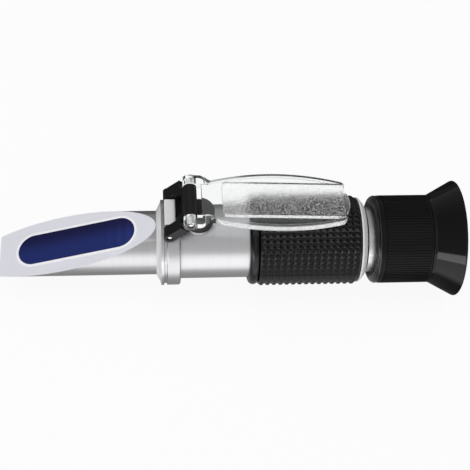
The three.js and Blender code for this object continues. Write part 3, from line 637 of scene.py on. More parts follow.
class RefractometerColours(bpy.types.PropertyGroup):
    """Base colours of the finishes"""

    satin_metal: colour("Satin metal", "Nose, collar and tube", (0.5, 0.5, 0.51))
    milled_face_painted_light: colour("Milled face", "Slanted face round the window", (0.83, 0.83, 0.9))
    bright_metal: colour("Bright metal", "Eyepiece barrel", (0.62, 0.62, 0.635))
    end_ring: colour("End ring", "Blasted ring behind the grip", (0.82, 0.82, 0.83))
    bracket: colour("Bracket", "Hinge bracket between collar and lid", (0.006, 0.006, 0.0065))
    grip: colour("Grip", "Studded rubber grip", (0.004, 0.004, 0.0042))
    cap: colour("Cap", "Cap over the calibration screw", (0.007, 0.007, 0.0072))
    focus_ring: colour("Focus ring", "Ribbed focus ring", (0.006, 0.006, 0.0063))
    eyecup: colour("Eyecup", "Flared eyecup", (0.003, 0.003, 0.0032))
    window: colour("Window", "Prism window on its near side", (0.016, 0.027, 0.14))
    window_far_shade: colour("Window far shade", "Prism window on its far side", (0.009, 0.01, 0.055))
    lid_clear: colour("Clear lid", "Clear plastic of the lid", (0.97, 0.98, 0.985))


# Nose

NOSE = SimpleNamespace(
    length=54.6, radius=11.1, cone_end=56.15, cone_radius=14.2, lip=14.85, rear=57.2, spigot=10.7,
    bore=7.2, bore_front=38,
)
FACE = SimpleNamespace(crossing=22.2, angle=math.radians(19), tolerance=0.02)
ON_FACE = Matrix.Translation((FACE.crossing, 0, 0)) @ Matrix.Rotation(-FACE.angle, 4, "Y")
WINDOW = SimpleNamespace(
    front=-16.8, rear=26.7, half=6.15, sides=98, depth=9, floor=-8.4, gap=0.1, sunk=0.08, edge=0.12,
    exit_face=44.5, exit_roof=4.2,
)
SEAL = SimpleNamespace(
    width=0.62, depth=1.2, cut_depth=3, proud=0.12, lap=0.3, edge=0.1, pocket_width=0.55, pocket_depth=9.55,
)


def slot_solid(margin, low, high):
    """The window's outline, grown by a margin, as a solid between two depths from the slanted face."""
    shape = bmesh.new()
    bmesh.ops.create_circle(shape, cap_ends=True, segments=WINDOW.sides, radius=WINDOW.half + margin)
    straight = (WINDOW.rear - WINDOW.front) / 2 - WINDOW.half
    for side in (-1, 1):
        end = [v for v in shape.verts if v.co.x * side > 0]
        bmesh.ops.translate(shape, verts=end, vec=(side * straight, 0, 0))
    centre = (WINDOW.rear + WINDOW.front) / 2
    bmesh.ops.translate(shape, verts=shape.verts, vec=(centre, 0, low))
    lift(shape, shape.faces[:], (0, 0, high - low))
    bmesh.ops.transform(shape, matrix=ON_FACE, verts=shape.verts)
    return shape


def floored(shape, height):
    """Cuts a solid off flat below a height."""
    bmesh.ops.bisect_plane(
        shape, geom=shape.verts[:] + shape.edges[:] + shape.faces[:], plane_co=(0, 0, height),
        plane_no=(0, 0, -1), clear_outer=True,
    )
    bmesh.ops.holes_fill(shape, edges=[e for e in shape.edges if e.is_boundary])
    bmesh.ops.recalc_face_normals(shape, faces=shape.faces)
    return shape


class REFRACTOMETER_OT_nose(bpy.types.Operator):
    """Model the nose with its slanted face, the window glass and the seal round it"""

    bl_idname = "refractometer.nose"
    bl_label = "Nose and Window"

    def execute(self, context):
        edge = context.scene.refractometer_sizes.metal_edge / MM
        spigot_end = reach("prism_housing")[1]
        bar = turned([
            (0, 0), (0, NOSE.radius), (NOSE.length, NOSE.radius), (NOSE.cone_end, NOSE.cone_radius),
            (NOSE.cone_end, NOSE.lip), (NOSE.rear, NOSE.lip), (NOSE.rear, NOSE.spigot),
            (spigot_end, NOSE.spigot), (spigot_end, NOSE.bore), (NOSE.bore_front, NOSE.bore),
            (NOSE.bore_front, 0),
        ])
        rise = math.tan(FACE.angle)
        above = extruded([
            (-PAST, (-PAST - FACE.crossing) * rise), (NOSE.length, (NOSE.length - FACE.crossing) * rise),
            (NOSE.length, WELL_PAST), (-PAST, WELL_PAST),
        ], -WELL_PAST, WELL_PAST, flat=False)
        pocket = slot_solid(SEAL.pocket_width, -SEAL.pocket_depth, OVERRUN)
        pocket = floored(pocket, WINDOW.floor - WINDOW.gap)
        bar = softened(cut(bar, above, pocket), edge * 1.5)
        normal = ON_FACE.to_3x3() @ Vector((0, 0, 1))

        def slot_of(face, centre):
            height = (centre - ON_FACE.translation).dot(normal)
            if abs(height) < FACE.tolerance and face.normal.dot(normal) > 0.99:
                return 1
            return 2 if NOSE.length < centre.x < NOSE.cone_end + 0.1 and face.normal.x < -0.5 else 0

        finished(
            "nose_body", painted(bar, slot_of), "housing",
            [satin_metal(), milled_metal(), blasted_metal()], ["prism_housing"],
        )

        glass = floored(slot_solid(-WINDOW.gap, -WINDOW.depth, -WINDOW.sunk), WINDOW.floor)
        exit_room = block(
            (WINDOW.exit_face, WINDOW.exit_face + WELL_PAST), (-WELL_PAST, WELL_PAST),
            (-WELL_PAST, WINDOW.exit_roof),
        )
        glass = softened(cut(glass, exit_room), WINDOW.edge)
        finished("window_prism", glass, "housing", [window_glass()], ["main_prism"])

        ring = cut(
            slot_solid(SEAL.width, -SEAL.depth, SEAL.proud), slot_solid(0, -SEAL.cut_depth, 0),
            slot_solid(-SEAL.lap, -SEAL.cut_depth, OVERRUN),
        )
        ring = softened(ring, SEAL.edge)
        finished("window_seal", ring, "housing", [sealant()], ["prism_seal"])
        return {"FINISHED"}


# Collar, tube and what they carry

COLLAR = SimpleNamespace(
    neck=14.2, neck_width=0.8, radius=14.8, front_round=0.4, rear_round=0.8, bore=10.95,
    tube_bore=12.85, tube_depth=2.6, core_rear=70,
)
HINGE_BLOCK = SimpleNamespace(length=3.7, half=5.2, root=12, top=19.2, edge=0.35, hole_half=9, hole=0.9)
TUBE = SimpleNamespace(radius=12.6, bore=11, seat_hole=3.3, saddle=12.68)
SEAT = SimpleNamespace(
    root=5, flange=4.9, rim_start=13.2, rim=4.75, flange_top=14.6, bore=1.6, neck_start=10.9, neck=3.0,
    neck_top=14.5, collar=3.9, top=17.2, head_bore=2.75, head_floor=15.2, core_rear=90, sides=64,
)
SCREW = SimpleNamespace(
    start=9.7, tip=0.9, shank_start=10.9, shank=1.3, head_start=15.5, head=2.4, top=16.7,
    slot_floor=16.2, slot_half=0.3, edge=0.1,
)
CAP = SimpleNamespace(
    ceiling=18, bore=4.2, skirt=14.9, skirt_round=0.25, radius=5.1, shoulder=18.7, top_round=1.3,
    top=20.3, crown_drop=0.12, crown=2.4, sides=96,
)


CORE_FRONT = 50


def core(radius, rear):
    """A rod along the optical axis that cuts the round seat of what sits on the tube."""
    return turned([(CORE_FRONT, 0), (CORE_FRONT, radius), (rear, radius), (rear, 0)])


class REFRACTOMETER_OT_collar(bpy.types.Operator):
    """Model the collar ring with the block that its hinge pin goes through"""

    bl_idname = "refractometer.collar"
    bl_label = "Hinge Collar"

    def execute(self, context):
        edge = context.scene.refractometer_sizes.metal_edge / MM
        front, rear = reach("hinge_collar")
        band, seat = front + COLLAR.neck_width, rear - COLLAR.tube_depth
        front_round, rear_round = COLLAR.front_round, COLLAR.rear_round
        ring = turned([
            (front, COLLAR.bore), (front, COLLAR.neck), (band, COLLAR.neck),
            *arc((band + front_round, COLLAR.radius - front_round), front_round, 180, 90, 4),
            *arc((rear - rear_round, COLLAR.radius - rear_round), rear_round, 90, 0),
            (rear, COLLAR.tube_bore), (seat, COLLAR.tube_bore), (seat, COLLAR.bore),
        ])
        root, top, block_rear = HINGE_BLOCK.root, HINGE_BLOCK.top, front + HINGE_BLOCK.length
        tall = extruded([
            (front, root), (block_rear, root), (block_rear, top), (front, top),
        ], -HINGE_BLOCK.half, HINGE_BLOCK.half, flat=False)
        tall = cut(softened(tall, HINGE_BLOCK.edge), core(COLLAR.tube_bore, COLLAR.core_rear))
        pin_hole = rod(LINK_PIN, HINGE_BLOCK.hole_half, HINGE_BLOCK.hole)
        collar = softened(cut(joined(ring, tall), pin_hole), edge * 0.6)
        # The block's top, front and rear faces take the lighter blasted finish: a painted highlight where
        # light falls on them.
        painted(collar, lambda face, centre: centre.z > COLLAR.radius + 0.1 and abs(face.normal.y) < 0.9)
        finished(
            "collar_block", collar, "housing", [satin_metal(), blasted_metal()],
            ["hinge_collar"],
        )
        return {"FINISHED"}


class REFRACTOMETER_OT_tube(bpy.types.Operator):
    """Model the main tube, the screw seat on it, the calibration screw and its cap"""

    bl_idname = "refractometer.tube"
    bl_label = "Tube and Calibration Cap"

    def execute(self, context):
        edge = context.scene.refractometer_sizes.metal_edge / MM
        front, rear = reach("main_tube")
        tube = softened(turned([
            (front, TUBE.bore), (front, TUBE.radius), (rear, TUBE.radius), (rear, TUBE.bore),
        ]), edge)
        at = (SCREW_X, 0, 0)
        hole = turned(
            [(0, 0), (0, TUBE.seat_hole), (WELL_PAST, TUBE.seat_hole), (WELL_PAST, 0)], "Z", at, SMALL_SIDES,
        )
        finished("tube_shell", cut(tube, hole), "housing", [satin_metal()], ["main_tube"])

        rim = turned([
            (SEAT.root, SEAT.bore), (SEAT.root, SEAT.flange), (SEAT.rim_start, SEAT.flange),
            (SEAT.rim_start + 0.05, SEAT.rim), (SEAT.flange_top, SEAT.rim), (SEAT.flange_top, SEAT.bore),
        ], "Z", at, SEAT.sides)
        neck = turned([
            (SEAT.neck_start, SEAT.bore), (SEAT.neck_start, SEAT.neck), (SEAT.neck_top, SEAT.neck),
            (SEAT.neck_top, SEAT.collar), (SEAT.top, SEAT.collar), (SEAT.top, SEAT.head_bore),
            (SEAT.head_floor, SEAT.head_bore), (SEAT.head_floor, SEAT.bore),
        ], "Z", at, SEAT.sides)
        seat = softened(joined(cut(rim, core(TUBE.saddle, SEAT.core_rear)), neck), edge * 0.7)

        # The seat's rim under the cap takes the black cap rubber: painted shade under the cap.
        def on_rim(face, centre):
            off_axis = math.hypot(centre.x - SCREW_X, centre.y)
            return centre.z > SEAT.rim_start - 0.05 and off_axis > SEAT.collar + 0.05

        finished(
            "screw_seat", painted(seat, on_rim), "housing", [satin_metal(), cap_rubber()],
            ["calibration_boss"],
        )

        screw = turned([
            (SCREW.start, 0), (SCREW.start, SCREW.tip), (SCREW.shank_start, SCREW.tip),
            (SCREW.shank_start, SCREW.shank), (SCREW.head_start, SCREW.shank),
            (SCREW.head_start, SCREW.head), (SCREW.top, SCREW.head), (SCREW.top, 0),
        ], "Z", at, SMALL_SIDES)
        driver = block(
            (SCREW_X - PAST, SCREW_X + PAST), (-SCREW.slot_half, SCREW.slot_half),
            (SCREW.slot_floor, SCREW.top + OVERRUN),
        )
        screw = softened(cut(screw, driver), SCREW.edge)
        finished("slotted_screw", screw, "screw", [brass()], ["calibration_screw"])

        cap = turned([
            (CAP.ceiling, 0), (CAP.ceiling, CAP.bore), (CAP.skirt, CAP.bore),
            *arc((CAP.skirt + CAP.skirt_round, CAP.radius - CAP.skirt_round), CAP.skirt_round, 180, 90, 2),
            (CAP.shoulder, CAP.radius),
            *arc((CAP.shoulder, CAP.radius - CAP.top_round), CAP.top_round, 75, 0, 5),
            (CAP.top - CAP.crown_drop, CAP.crown), (CAP.top, 0),
        ], "Z", at, CAP.sides)
        finished("screw_cap", cap, "cap", [cap_rubber()], ["calibration_cap"])
        return {"FINISHED"}


# Hinge and lid

IN_LINK = Matrix.Translation(LINK_PIN) @ Matrix.Rotation(-LINK_ANGLE, 4, "Y")
LID_TILT = math.radians(2.8)
IN_LID = Matrix.Translation(LID_PIN) @ Matrix.Rotation(LID_TILT, 4, "Y")
LINK_SPACING = (LID_PIN - LINK_PIN).length
PIN = SimpleNamespace(radius=0.8, end_radius=0.5, end=0.25, bore=1.06, drill_half=12)
BRACKET = SimpleNamespace(
    half=9.7, arm_end=7, thickness_half=1.8, heel=2.0, neck_start=5.2, neck_half=6, barrel=2.3,
    knuckle_room=2.65, slot_end=3.3, slot_half=5.55, window=(4.4, 7.7), window_half=4.25,
    ramp_end=4.9, ramp_floor=0.4,
)
LID = SimpleNamespace(
    length=52.4, knee=3.2, neck=7.0, neck_half=7.4, bulge=29.5, bulge_half=10.5, arm_half=9.7,
    corner=0.9, bottom=-0.85, plate=1.2, wall=0.78, wall_top=2.3, knuckle=2.35, knee_points=8,
    tab_half=3.9, tab_length=1.5, tab_top=1.2, notch_half=6.3, notch_end=3.9, step_height=1.9,
    step_start=4.6, step_end=6.4, pad_top=2.85, pad_half=6.6, pad_start=10.6, pad_end=51.7, pad_round=1.2,
)
ORIGIN = (0, 0, 0)


class REFRACTOMETER_OT_hinge(bpy.types.Operator):
    """Model the black bracket between collar and lid, with its two pins"""

    bl_idname = "refractometer.hinge"
    bl_label = "Hinge Bracket and Pins"

    def execute(self, context):
        edge = context.scene.refractometer_sizes.plastic_edge / MM
        far, half, neck_half = (LINK_SPACING, 0, 0), BRACKET.half, BRACKET.neck_half
        thickness = (-BRACKET.thickness_half, BRACKET.thickness_half)
        bar = block((0, BRACKET.arm_end), (-half, half), thickness)
        neck = block((BRACKET.neck_start, LINK_SPACING), (-neck_half, neck_half), thickness)
        plate = joined(bar, rod(ORIGIN, half, BRACKET.heel), neck, rod(far, neck_half, BRACKET.barrel))
        slot_half, window_half = BRACKET.slot_half, BRACKET.window_half
        slot = block((-PAST, BRACKET.slot_end), (-slot_half, slot_half), (-PAST, PAST))
        window = block(BRACKET.window, (-window_half, window_half), (-PAST, PAST))
        ramp_start, ramp_top = BRACKET.slot_end - OVERRUN, BRACKET.thickness_half + OVERRUN
        ramp = extruded([
            (ramp_start, BRACKET.ramp_floor), (BRACKET.slot_end, BRACKET.ramp_floor),
            (BRACKET.ramp_end, BRACKET.thickness_half), (BRACKET.ramp_end, ramp_top),
            (ramp_start, ramp_top),
        ], -slot_half, slot_half, flat=False)
        room = cut(
            rod(far, PIN.drill_half, BRACKET.knuckle_room),
            block((0, WELL_PAST), (-neck_half, neck_half), (-WELL_PAST, WELL_PAST)),
        )
        plate = softened(cut(plate, slot, window, ramp, room), edge, segments=3)
        plate = cut(plate, *[rod(at, PIN.drill_half, PIN.bore) for at in (ORIGIN, far)])
        finished(
            "hinge_link", plate, "hinge_link", [bracket_plastic()],
            ["hinge_bracket"], IN_LINK,
        )
        for name, at, body, cad in (
            ("link_pin", LINK_PIN, "housing", "bracket_pin"),
            ("hinge_pin", LID_PIN, "hinge_link", "lid_pin"),
        ):
            low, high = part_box(cad)
            end = (high.y - low.y) / 2 / MM
            pin = turned([
                (-end, 0), (-end, PIN.end_radius), (PIN.end - end, PIN.radius),
                (end - PIN.end, PIN.radius), (end, PIN.end_radius), (end, 0),
            ], "Y", at, SMALL_SIDES)
            finished(name, pin, body, [pin_steel()], [cad])
        return {"FINISHED"}


def lid_side(inset, start, end, stations=28):
    """One long side of the lid: straight at the knuckles, drawn in at the neck, bulged beyond it."""
    points = []
    if start < LID.knee:
        points = [(start, LID.arm_half - inset), (LID.knee, LID.arm_half - inset)]
        drop = LID.arm_half - LID.neck_half
        for i in range(1, LID.knee_points):
            share = i / LID.knee_points
            smooth = share * share * (3 - 2 * share)
            points.append((LID.knee + (LID.neck - LID.knee) * share, LID.arm_half - drop * smooth - inset))
    rise = LID.bulge_half - LID.neck_half
    for i in range(stations + 1):
        x = LID.neck + (end - LID.neck) * i / stations
        share = (x - LID.bulge) / (LID.bulge - LID.neck)
        points.append((x, LID.bulge_half - rise * share * share - inset))
    return points


def mirrored(points):
    return points + [(x, -y) for x, y in reversed(points)]


class REFRACTOMETER_OT_lid(bpy.types.Operator):
    """Model the clear lid with its side walls, frosted pad, knuckles and thumb tab"""

    bl_idname = "refractometer.lid"
    bl_label = "Clear Lid"

    def execute(self, context):
        edge = context.scene.refractometer_sizes.lid_edge / MM
        end, top, notch_half = LID.length, LID.wall_top, LID.notch_half
        side = lid_side(0, 0, end - LID.corner)
        whole = extruded(mirrored([*side, (end, side[-1][1] - LID.corner)]), LID.bottom, top)
        tab = extruded([
            (end - OVERRUN, -LID.tab_half), *arc((end, 0), (LID.tab_length, LID.tab_half), -90, 90, 18),
            (end - OVERRUN, LID.tab_half),
        ], LID.bottom, LID.tab_top)
        inner = lid_side(LID.wall, LID.neck, end + OVERRUN)
        trough = extruded(mirrored([
            (-PAST, notch_half), (LID.neck - LID.wall, notch_half), *inner,
        ]), LID.plate, top + OVERRUN)
        step = extruded([
            (-PAST, LID.step_height), (LID.step_start, LID.step_height), (LID.step_end, top + OVERRUN),
            (-PAST, top + OVERRUN),
        ], -WELL_PAST, WELL_PAST, flat=False)
        notch = block((-PAST, LID.notch_end), (-notch_half, notch_half), (-PAST, PAST))
        between = block((-PAST, PAST), (-notch_half, notch_half), (-PAST, PAST))
        knuckles = cut(rod(ORIGIN, LID.arm_half, LID.knuckle), between)
        shell = cut(joined(whole, tab), trough, step, notch)
        corner_x, corner_y = LID.pad_start + LID.pad_round, LID.pad_half - LID.pad_round
        pad = extruded([
            *arc((corner_x, corner_y), LID.pad_round, 90, 180),
            *arc((corner_x, -corner_y), LID.pad_round, 180, 270),
            (LID.pad_end, -LID.pad_half), (LID.pad_end, LID.pad_half),
        ], (LID.bottom + LID.plate) / 2, LID.pad_top)
        lid = softened(joined(shell, knuckles, pad), edge)
        lid = cut(lid, rod(ORIGIN, PIN.drill_half, PIN.bore))

        def slot_of(face, centre):
            up = face.normal.z > 0.3
            if up and centre.z > LID.pad_top - 0.35:
                return 1
            on_rim = up and top - 0.35 < centre.z < top + 0.01
            return 2 if on_rim or centre.x > end + 0.1 else 0

        clear_tone = tones().lid_clear
        finished(
            "clear_lid", painted(lid, slot_of), "lid",
            [
                clear("polished_acrylic", clear_tone, 0.03),
                # The frosted pad's specks glow: painted glints.
                clear("frosted_acrylic_glints", clear_tone, 0.3, frost=0.05, frost_size=0.0005, specks=0.00048),
                clear("drawn_acrylic", clear_tone, 0.45, frost=0.02, frost_size=0.0004),
            ],
            ["daylight_plate"], IN_LID,
        )
        return {"FINISHED"}


# Grip and eyepiece end

GRIP = SimpleNamespace(
    rows=48, columns=15, pitch=2.28, bore=12.85, bead_root=13.5, bead_half=1.75, bead_height=1.7,
    bead_edge=13.9, valley=14.95, rear=14.9, rear_edge=0.15,
)
END_RING = SimpleNamespace(bore=11.7, front=14.9, rear=13, land=0.5)
BARREL = SimpleNamespace(
    bore=10, spigot=10.75, spigot_length=4.3, radius=11.45, seam_start=-0.1, seam_end=0.7,
    seam_floor=10.4, o_ring_half=0.45, o_ring_floor=10.72, slot_half=0.95, slot=(-2.45, 3.95),
)
FOCUS = SimpleNamespace(
    bore=11.75, counterbore=13.2, recess=13.9, recess_depth=4.1, radius=15.5, sides=192, set_back=0.6,
    lip=8, dish_start=2.5, dish_run=2.3, dish_rise=1.5, dish_steps=4, shoulder=2.0, groove=15.1,
    groove_width=0.45, ribs_start=4.4, rear_band=0.7, rear_edge=0.15,
)
CUP = SimpleNamespace(
    gap=0.1, rim=20.4, rim_round=0.45, neck=15.5, neck_edge=0.15, wall=1.35, base=1.5, aperture=7,
    aperture_edge=0.4, spigot_fit=0.3, spigot_wall=1.7, sides=160,
)
LENS = SimpleNamespace(sag=1.2, clear=7.3, radius=8.6, steps=8, sides=96)
LENS_RING = SimpleNamespace(bore=7.5, radius=8.65, chamfer=0.4, notch_half=0.4, notch_start=0.5, edge=0.06)


def off_axis(face):
    """How far a face's middle lies from the optical axis."""
    return math.hypot(*face.calc_center_median().yz)


class REFRACTOMETER_OT_grip(bpy.types.Operator):
    """Model the rubber grip: a smooth bead, then rows of studs"""

    bl_idname = "refractometer.grip"
    bl_label = "Studded Grip"

    def execute(self, context):
        sizes = context.scene.refractometer_sizes
        front, rear = reach("rubber_grip")
        studs_from, valley = front + 2 * GRIP.bead_half, GRIP.valley
        stations = [studs_from + GRIP.pitch * i for i in range(GRIP.columns + 1)]
        bead_middle = (front + GRIP.bead_half, GRIP.bead_root)
        bead = arc(bead_middle, (GRIP.bead_half, GRIP.bead_height), 180, 0, 12)
        grip = turned([
            (front, GRIP.bore), *bead[:-1], (studs_from - 0.05, GRIP.bead_edge),
            *[(x, valley) for x in stations], (stations[-1] + 0.1, GRIP.rear),
            (rear - GRIP.rear_edge, GRIP.rear), (rear, GRIP.rear - GRIP.rear_edge), (rear, GRIP.bore),
        ], sides=GRIP.rows)
        studs = [
            f for f in grip.faces
            if studs_from < f.calc_center_median().x < stations[-1] and abs(off_axis(f) - valley) < 0.1
        ]
        # The inset is measured along a corner's diagonal
        diagonal = math.sqrt(2)
        for inset, depth in ((sizes.stud_margin, 0.0), (sizes.stud_slope, sizes.stud_height)):
            bmesh.ops.inset_individual(
                grip, faces=studs, thickness=diagonal * inset / MM, depth=depth / MM, use_even_offset=False,
            )
        finished(
            "studded_grip", grip, "housing", [grip_rubber()], ["rubber_grip"], sharp=28,
        )
        return {"FINISHED"}


def barrel_shape(edge):
    """The barrel with its seam groove behind the end ring, its o-ring groove and its guide slot."""
    seam = reach("tube_end_ring")[1]
    seam_start, seam_end = seam + BARREL.seam_start, seam + BARREL.seam_end
    start, rear = reach("eyepiece_barrel")
    shoulder, groove = start + BARREL.spigot_length, middle("focus_o_ring").x
    groove_start, groove_end = groove - BARREL.o_ring_half, groove + BARREL.o_ring_half
    outer = BARREL.radius
    barrel = turned([
        (start, BARREL.bore), (start, BARREL.spigot), (shoulder, BARREL.spigot), (shoulder, outer),
        (seam_start, outer), (seam_start, BARREL.seam_floor), (seam_end, BARREL.seam_floor),
        (seam_end, outer), (groove_start, outer), (groove_start, BARREL.o_ring_floor),
        (groove_end, BARREL.o_ring_floor), (groove_end, outer), (rear, outer), (rear, BARREL.bore),
    ])
    pin = middle("eyepiece_guide_pin").x
    slot = block(
        (pin + BARREL.slot[0], pin + BARREL.slot[1]), (-BARREL.slot_half, BARREL.slot_half), (-14, -8),
    )
    barrel = softened(cut(barrel, slot), edge * 0.5)
    # The seam groove takes the black focus finish: a painted shadow line between end ring and barrel.
    seam_middle = (seam_start + seam_end) / 2
    return painted(
        barrel, lambda face, centre: max(abs(v.co.x - seam_middle) for v in face.verts) < 0.45,
    )


def focus_shape(rib_height):
    """The focus ring: a dished nose, a scored shoulder, a groove and ribs."""
    front, rear = reach("focus_ring")
    outer, nose = FOCUS.radius, front + FOCUS.set_back
    rib_root = outer - rib_height
    ribs_from, ribs_to = front + FOCUS.ribs_start, rear - FOCUS.rear_band
    dish = [
        (nose + FOCUS.dish_start - FOCUS.dish_run * share, FOCUS.bore + FOCUS.dish_rise * share)
        for share in (i / FOCUS.dish_steps for i in range(FOCUS.dish_steps + 1))
    ]
    grooved = [point for x, r in dish[1:] for point in ((x + 0.3, r - 0.06), (x, r))]
    shoulder = arc((nose + FOCUS.shoulder, outer - FOCUS.shoulder), FOCUS.shoulder, 175, 90, 12)
    scored = [
        point for i, (x, r) in enumerate(shoulder)
        for point in ([(x, r)] if i % 3 or not i else [(x - 0.02, r - 0.2), (x + 0.1, r)])
    ]
    groove_from, recess_from = ribs_from - FOCUS.groove_width, rear - FOCUS.recess_depth
    ring = turned([
        dish[0], *grooved, *scored[:-1], (groove_from, outer), (groove_from, FOCUS.groove),
        (ribs_from, FOCUS.groove), (ribs_from, rib_root), (ribs_to, rib_root), (ribs_to, outer),
        (rear - FOCUS.rear_edge, outer), (rear, outer - FOCUS.rear_edge), (rear, FOCUS.recess),
        (recess_from, FOCUS.recess), (recess_from, FOCUS.counterbore),
        (front + FOCUS.lip, FOCUS.counterbore), (front + FOCUS.lip, FOCUS.bore),
    ], sides=FOCUS.sides)
    bands = sorted(
        (f for f in ring.faces
         if f.calc_area() > 5 and ribs_from < f.calc_center_median().x < ribs_to and off_axis(f) > 15),
        key=lambda f: math.atan2(f.calc_center_median().z, f.calc_center_median().y),
    )
    bmesh.ops.inset_individual(
        ring, faces=bands[::2], thickness=0.05, depth=rib_height, use_even_offset=False,
    )
    return painted(ring, lambda face, centre: centre.x < nose + FOCUS.shoulder + 0.1)


def cup_shape():
    """The eyecup: a spigot in the focus ring, a neck, a flared wall and a rounded rim."""
    start, rear = reach("eyecup")
    front = reach("focus_ring")[1] + CUP.gap
    rim, neck, rim_round, floor = CUP.rim, CUP.neck, CUP.rim_round, front + CUP.base
    spigot = FOCUS.recess - CUP.spigot_fit
    slope = math.atan2(rim - neck - 0.1, rear - front - 1.6)
    inner_base = neck + math.tan(slope) * (CUP.base - 0.8) - CUP.wall
    return turned([
        (front, CUP.aperture), (front, spigot - CUP.spigot_wall), (start, spigot - CUP.spigot_wall),
        (start, spigot), (front, spigot), (front, neck - CUP.neck_edge), (front + CUP.neck_edge, neck),
        (front + 0.7, neck), (front + 0.95, neck + 0.06), (front + 1.2, neck + 0.2),
        *arc((rear - rim_round, rim - rim_round), rim_round, 120, 0),
        *arc((rear - rim_round, rim - CUP.wall), rim_round, 0, -60, 3),
        (floor + 0.4, inner_base + 0.35), (floor, inner_base - 0.3),
        (floor, CUP.aperture + CUP.aperture_edge), (floor - 0.3, CUP.aperture),
    ], sides=CUP.sides)


def lens_shape():
    """The eye lens, bowed on both faces inside a flat rim."""
    front, rear = reach("eye_lens")
    bow = [
        (LENS.sag * share ** 2, LENS.clear * share)
        for share in (i / LENS.steps for i in range(LENS.steps + 1))
    ]
    return turned([
        *[(front + x, r) for x, r in bow], (front + LENS.sag, LENS.radius), (rear - LENS.sag, LENS.radius),
        *[(rear - x, r) for x, r in reversed(bow)],
    ], sides=LENS.sides)


class REFRACTOMETER_OT_eyepiece(bpy.types.Operator):
    """Model the end ring, the barrel, the ribbed focus ring, the eyecup and the eye lens"""

    bl_idname = "refractometer.eyepiece"
    bl_label = "Eyepiece End"

    def execute(self, context):
        sizes = context.scene.refractometer_sizes
        edge = sizes.metal_edge / MM
        front, rear = reach("tube_end_ring")
        ring = turned([
            (front, END_RING.bore), (front, END_RING.front), (front + END_RING.land, END_RING.front),
            (rear, END_RING.rear), (rear, END_RING.bore),
        ])
        finished(
            "end_ring", softened(ring, edge * 0.7, angle=20), "housing", [blasted_metal()],
            ["tube_end_ring"],
        )
        finished(
            "barrel_tube", barrel_shape(edge), "housing",
            [bright_metal(), focus_plastic()], ["eyepiece_barrel"],
        )
        finished(
            "ribbed_ring", focus_shape(sizes.rib_height / MM), "focus",
            [focus_plastic(), focus_nose_plastic()], ["focus_ring"], sharp=32,
        )
        finished(
            "flared_cup", cup_shape(), "focus", [eyecup_rubber()], ["eyecup"], sharp=30,
        )
        finished("eye_glass", lens_shape(), "eyepiece", [coated_glass()], ["eye_lens"])

        front, rear = reach("eyepiece_retaining_ring")
        bore, outer, chamfer = LENS_RING.bore, LENS_RING.radius, LENS_RING.chamfer
        ring = turned([
            (front, bore), (front, outer), (rear, outer), (rear, bore + chamfer), (rear - chamfer, bore),
        ], sides=LENS.sides)
        notches = block(
            (front + LENS_RING.notch_start, rear + OVERRUN), (-LENS_RING.notch_half, LENS_RING.notch_half),
            (-WELL_PAST, WELL_PAST),
        )
        finished(
            "lens_ring", softened(cut(ring, notches), LENS_RING.edge), "eyepiece",
            [anodised_black()], ["eyepiece_retaining_ring"],
        )
        return {"FINISHED"}


class REFRACTOMETER_OT_inside(bpy.types.Operator):
    """Give the inner pieces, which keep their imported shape, their finishes"""

    bl_idname = "refractometer.inside"
    bl_label = "Inner Pieces"

    def execute(self, context):
        glass = coated_glass()
        finishes = {
            anodised_black(): [
                "objective_cell", "objective_retaining_ring", "field_stop", "reticle_holder",
                "reticle_clamp_ring", "eyepiece_cell", "lens_spacer", "barrel_stop_ring",
            ],
            glass: ["objective_lens", "reticle_plate", "field_lens"],
            brass(): ["bimetal_strip"],
            pin_steel(): ["bimetal_rivet", "eyepiece_guide_pin"],
            cap_rubber(): ["focus_o_ring"],
        }
        for material, names in finishes.items():
            for name in names:
                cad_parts[name].data.materials.clear()
                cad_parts[name].data.materials.append(material)
        return {"FINISHED"}


# Stage

# Softboxes: name, place, width, height, radiance, and whether metal and glass show them
LAMPS = (
    ("front_strip", (0.15, -0.65, 0.1), 0.7, 0.22, 0.95, True),
    ("left_strip", (-0.5, -0.6, 0.1), 0.55, 0.22, 4.5, True),
    ("overhead", (0.0, -0.1, 0.9), 0.9, 0.5, 2.2, False),
    ("rear_left", (-0.55, 0.45, 0.6), 0.5, 0.4, 1.1, False),
)
LAMP_TARGET = (0, 0, 0.02)
FLOOR_DROP = 0.0002
# The photograph's view: where the camera is, the way behind it, and its turn about that way
CAMERA_PLACE = (-0.029228, -0.214416, 0.358798)
CAMERA_BACK = (-0.07830, -0.53819, 0.83918)
CAMERA_ROLL = math.radians(6.105)


def lamp(name, place, width, height, radiance, mirrored_in):
    """A rectangular softbox whose face has a given radiance."""
    data = bpy.data.lights.new(name, "AREA")
    data.shape, data.size, data.size_y = "RECTANGLE", width, height
    data.energy = radiance * math.pi * width * height
    holder = bpy.data.objects.new(name, data)
    bpy.context.scene.collection.objects.link(holder)
    holder.location = place
    holder.rotation_euler = (Vector(LAMP_TARGET) - Vector(place)).to_track_quat("-Z", "Y").to_euler()
    holder.visible_camera = False
    holder.visible_glossy = holder.visible_transmission = mirrored_in


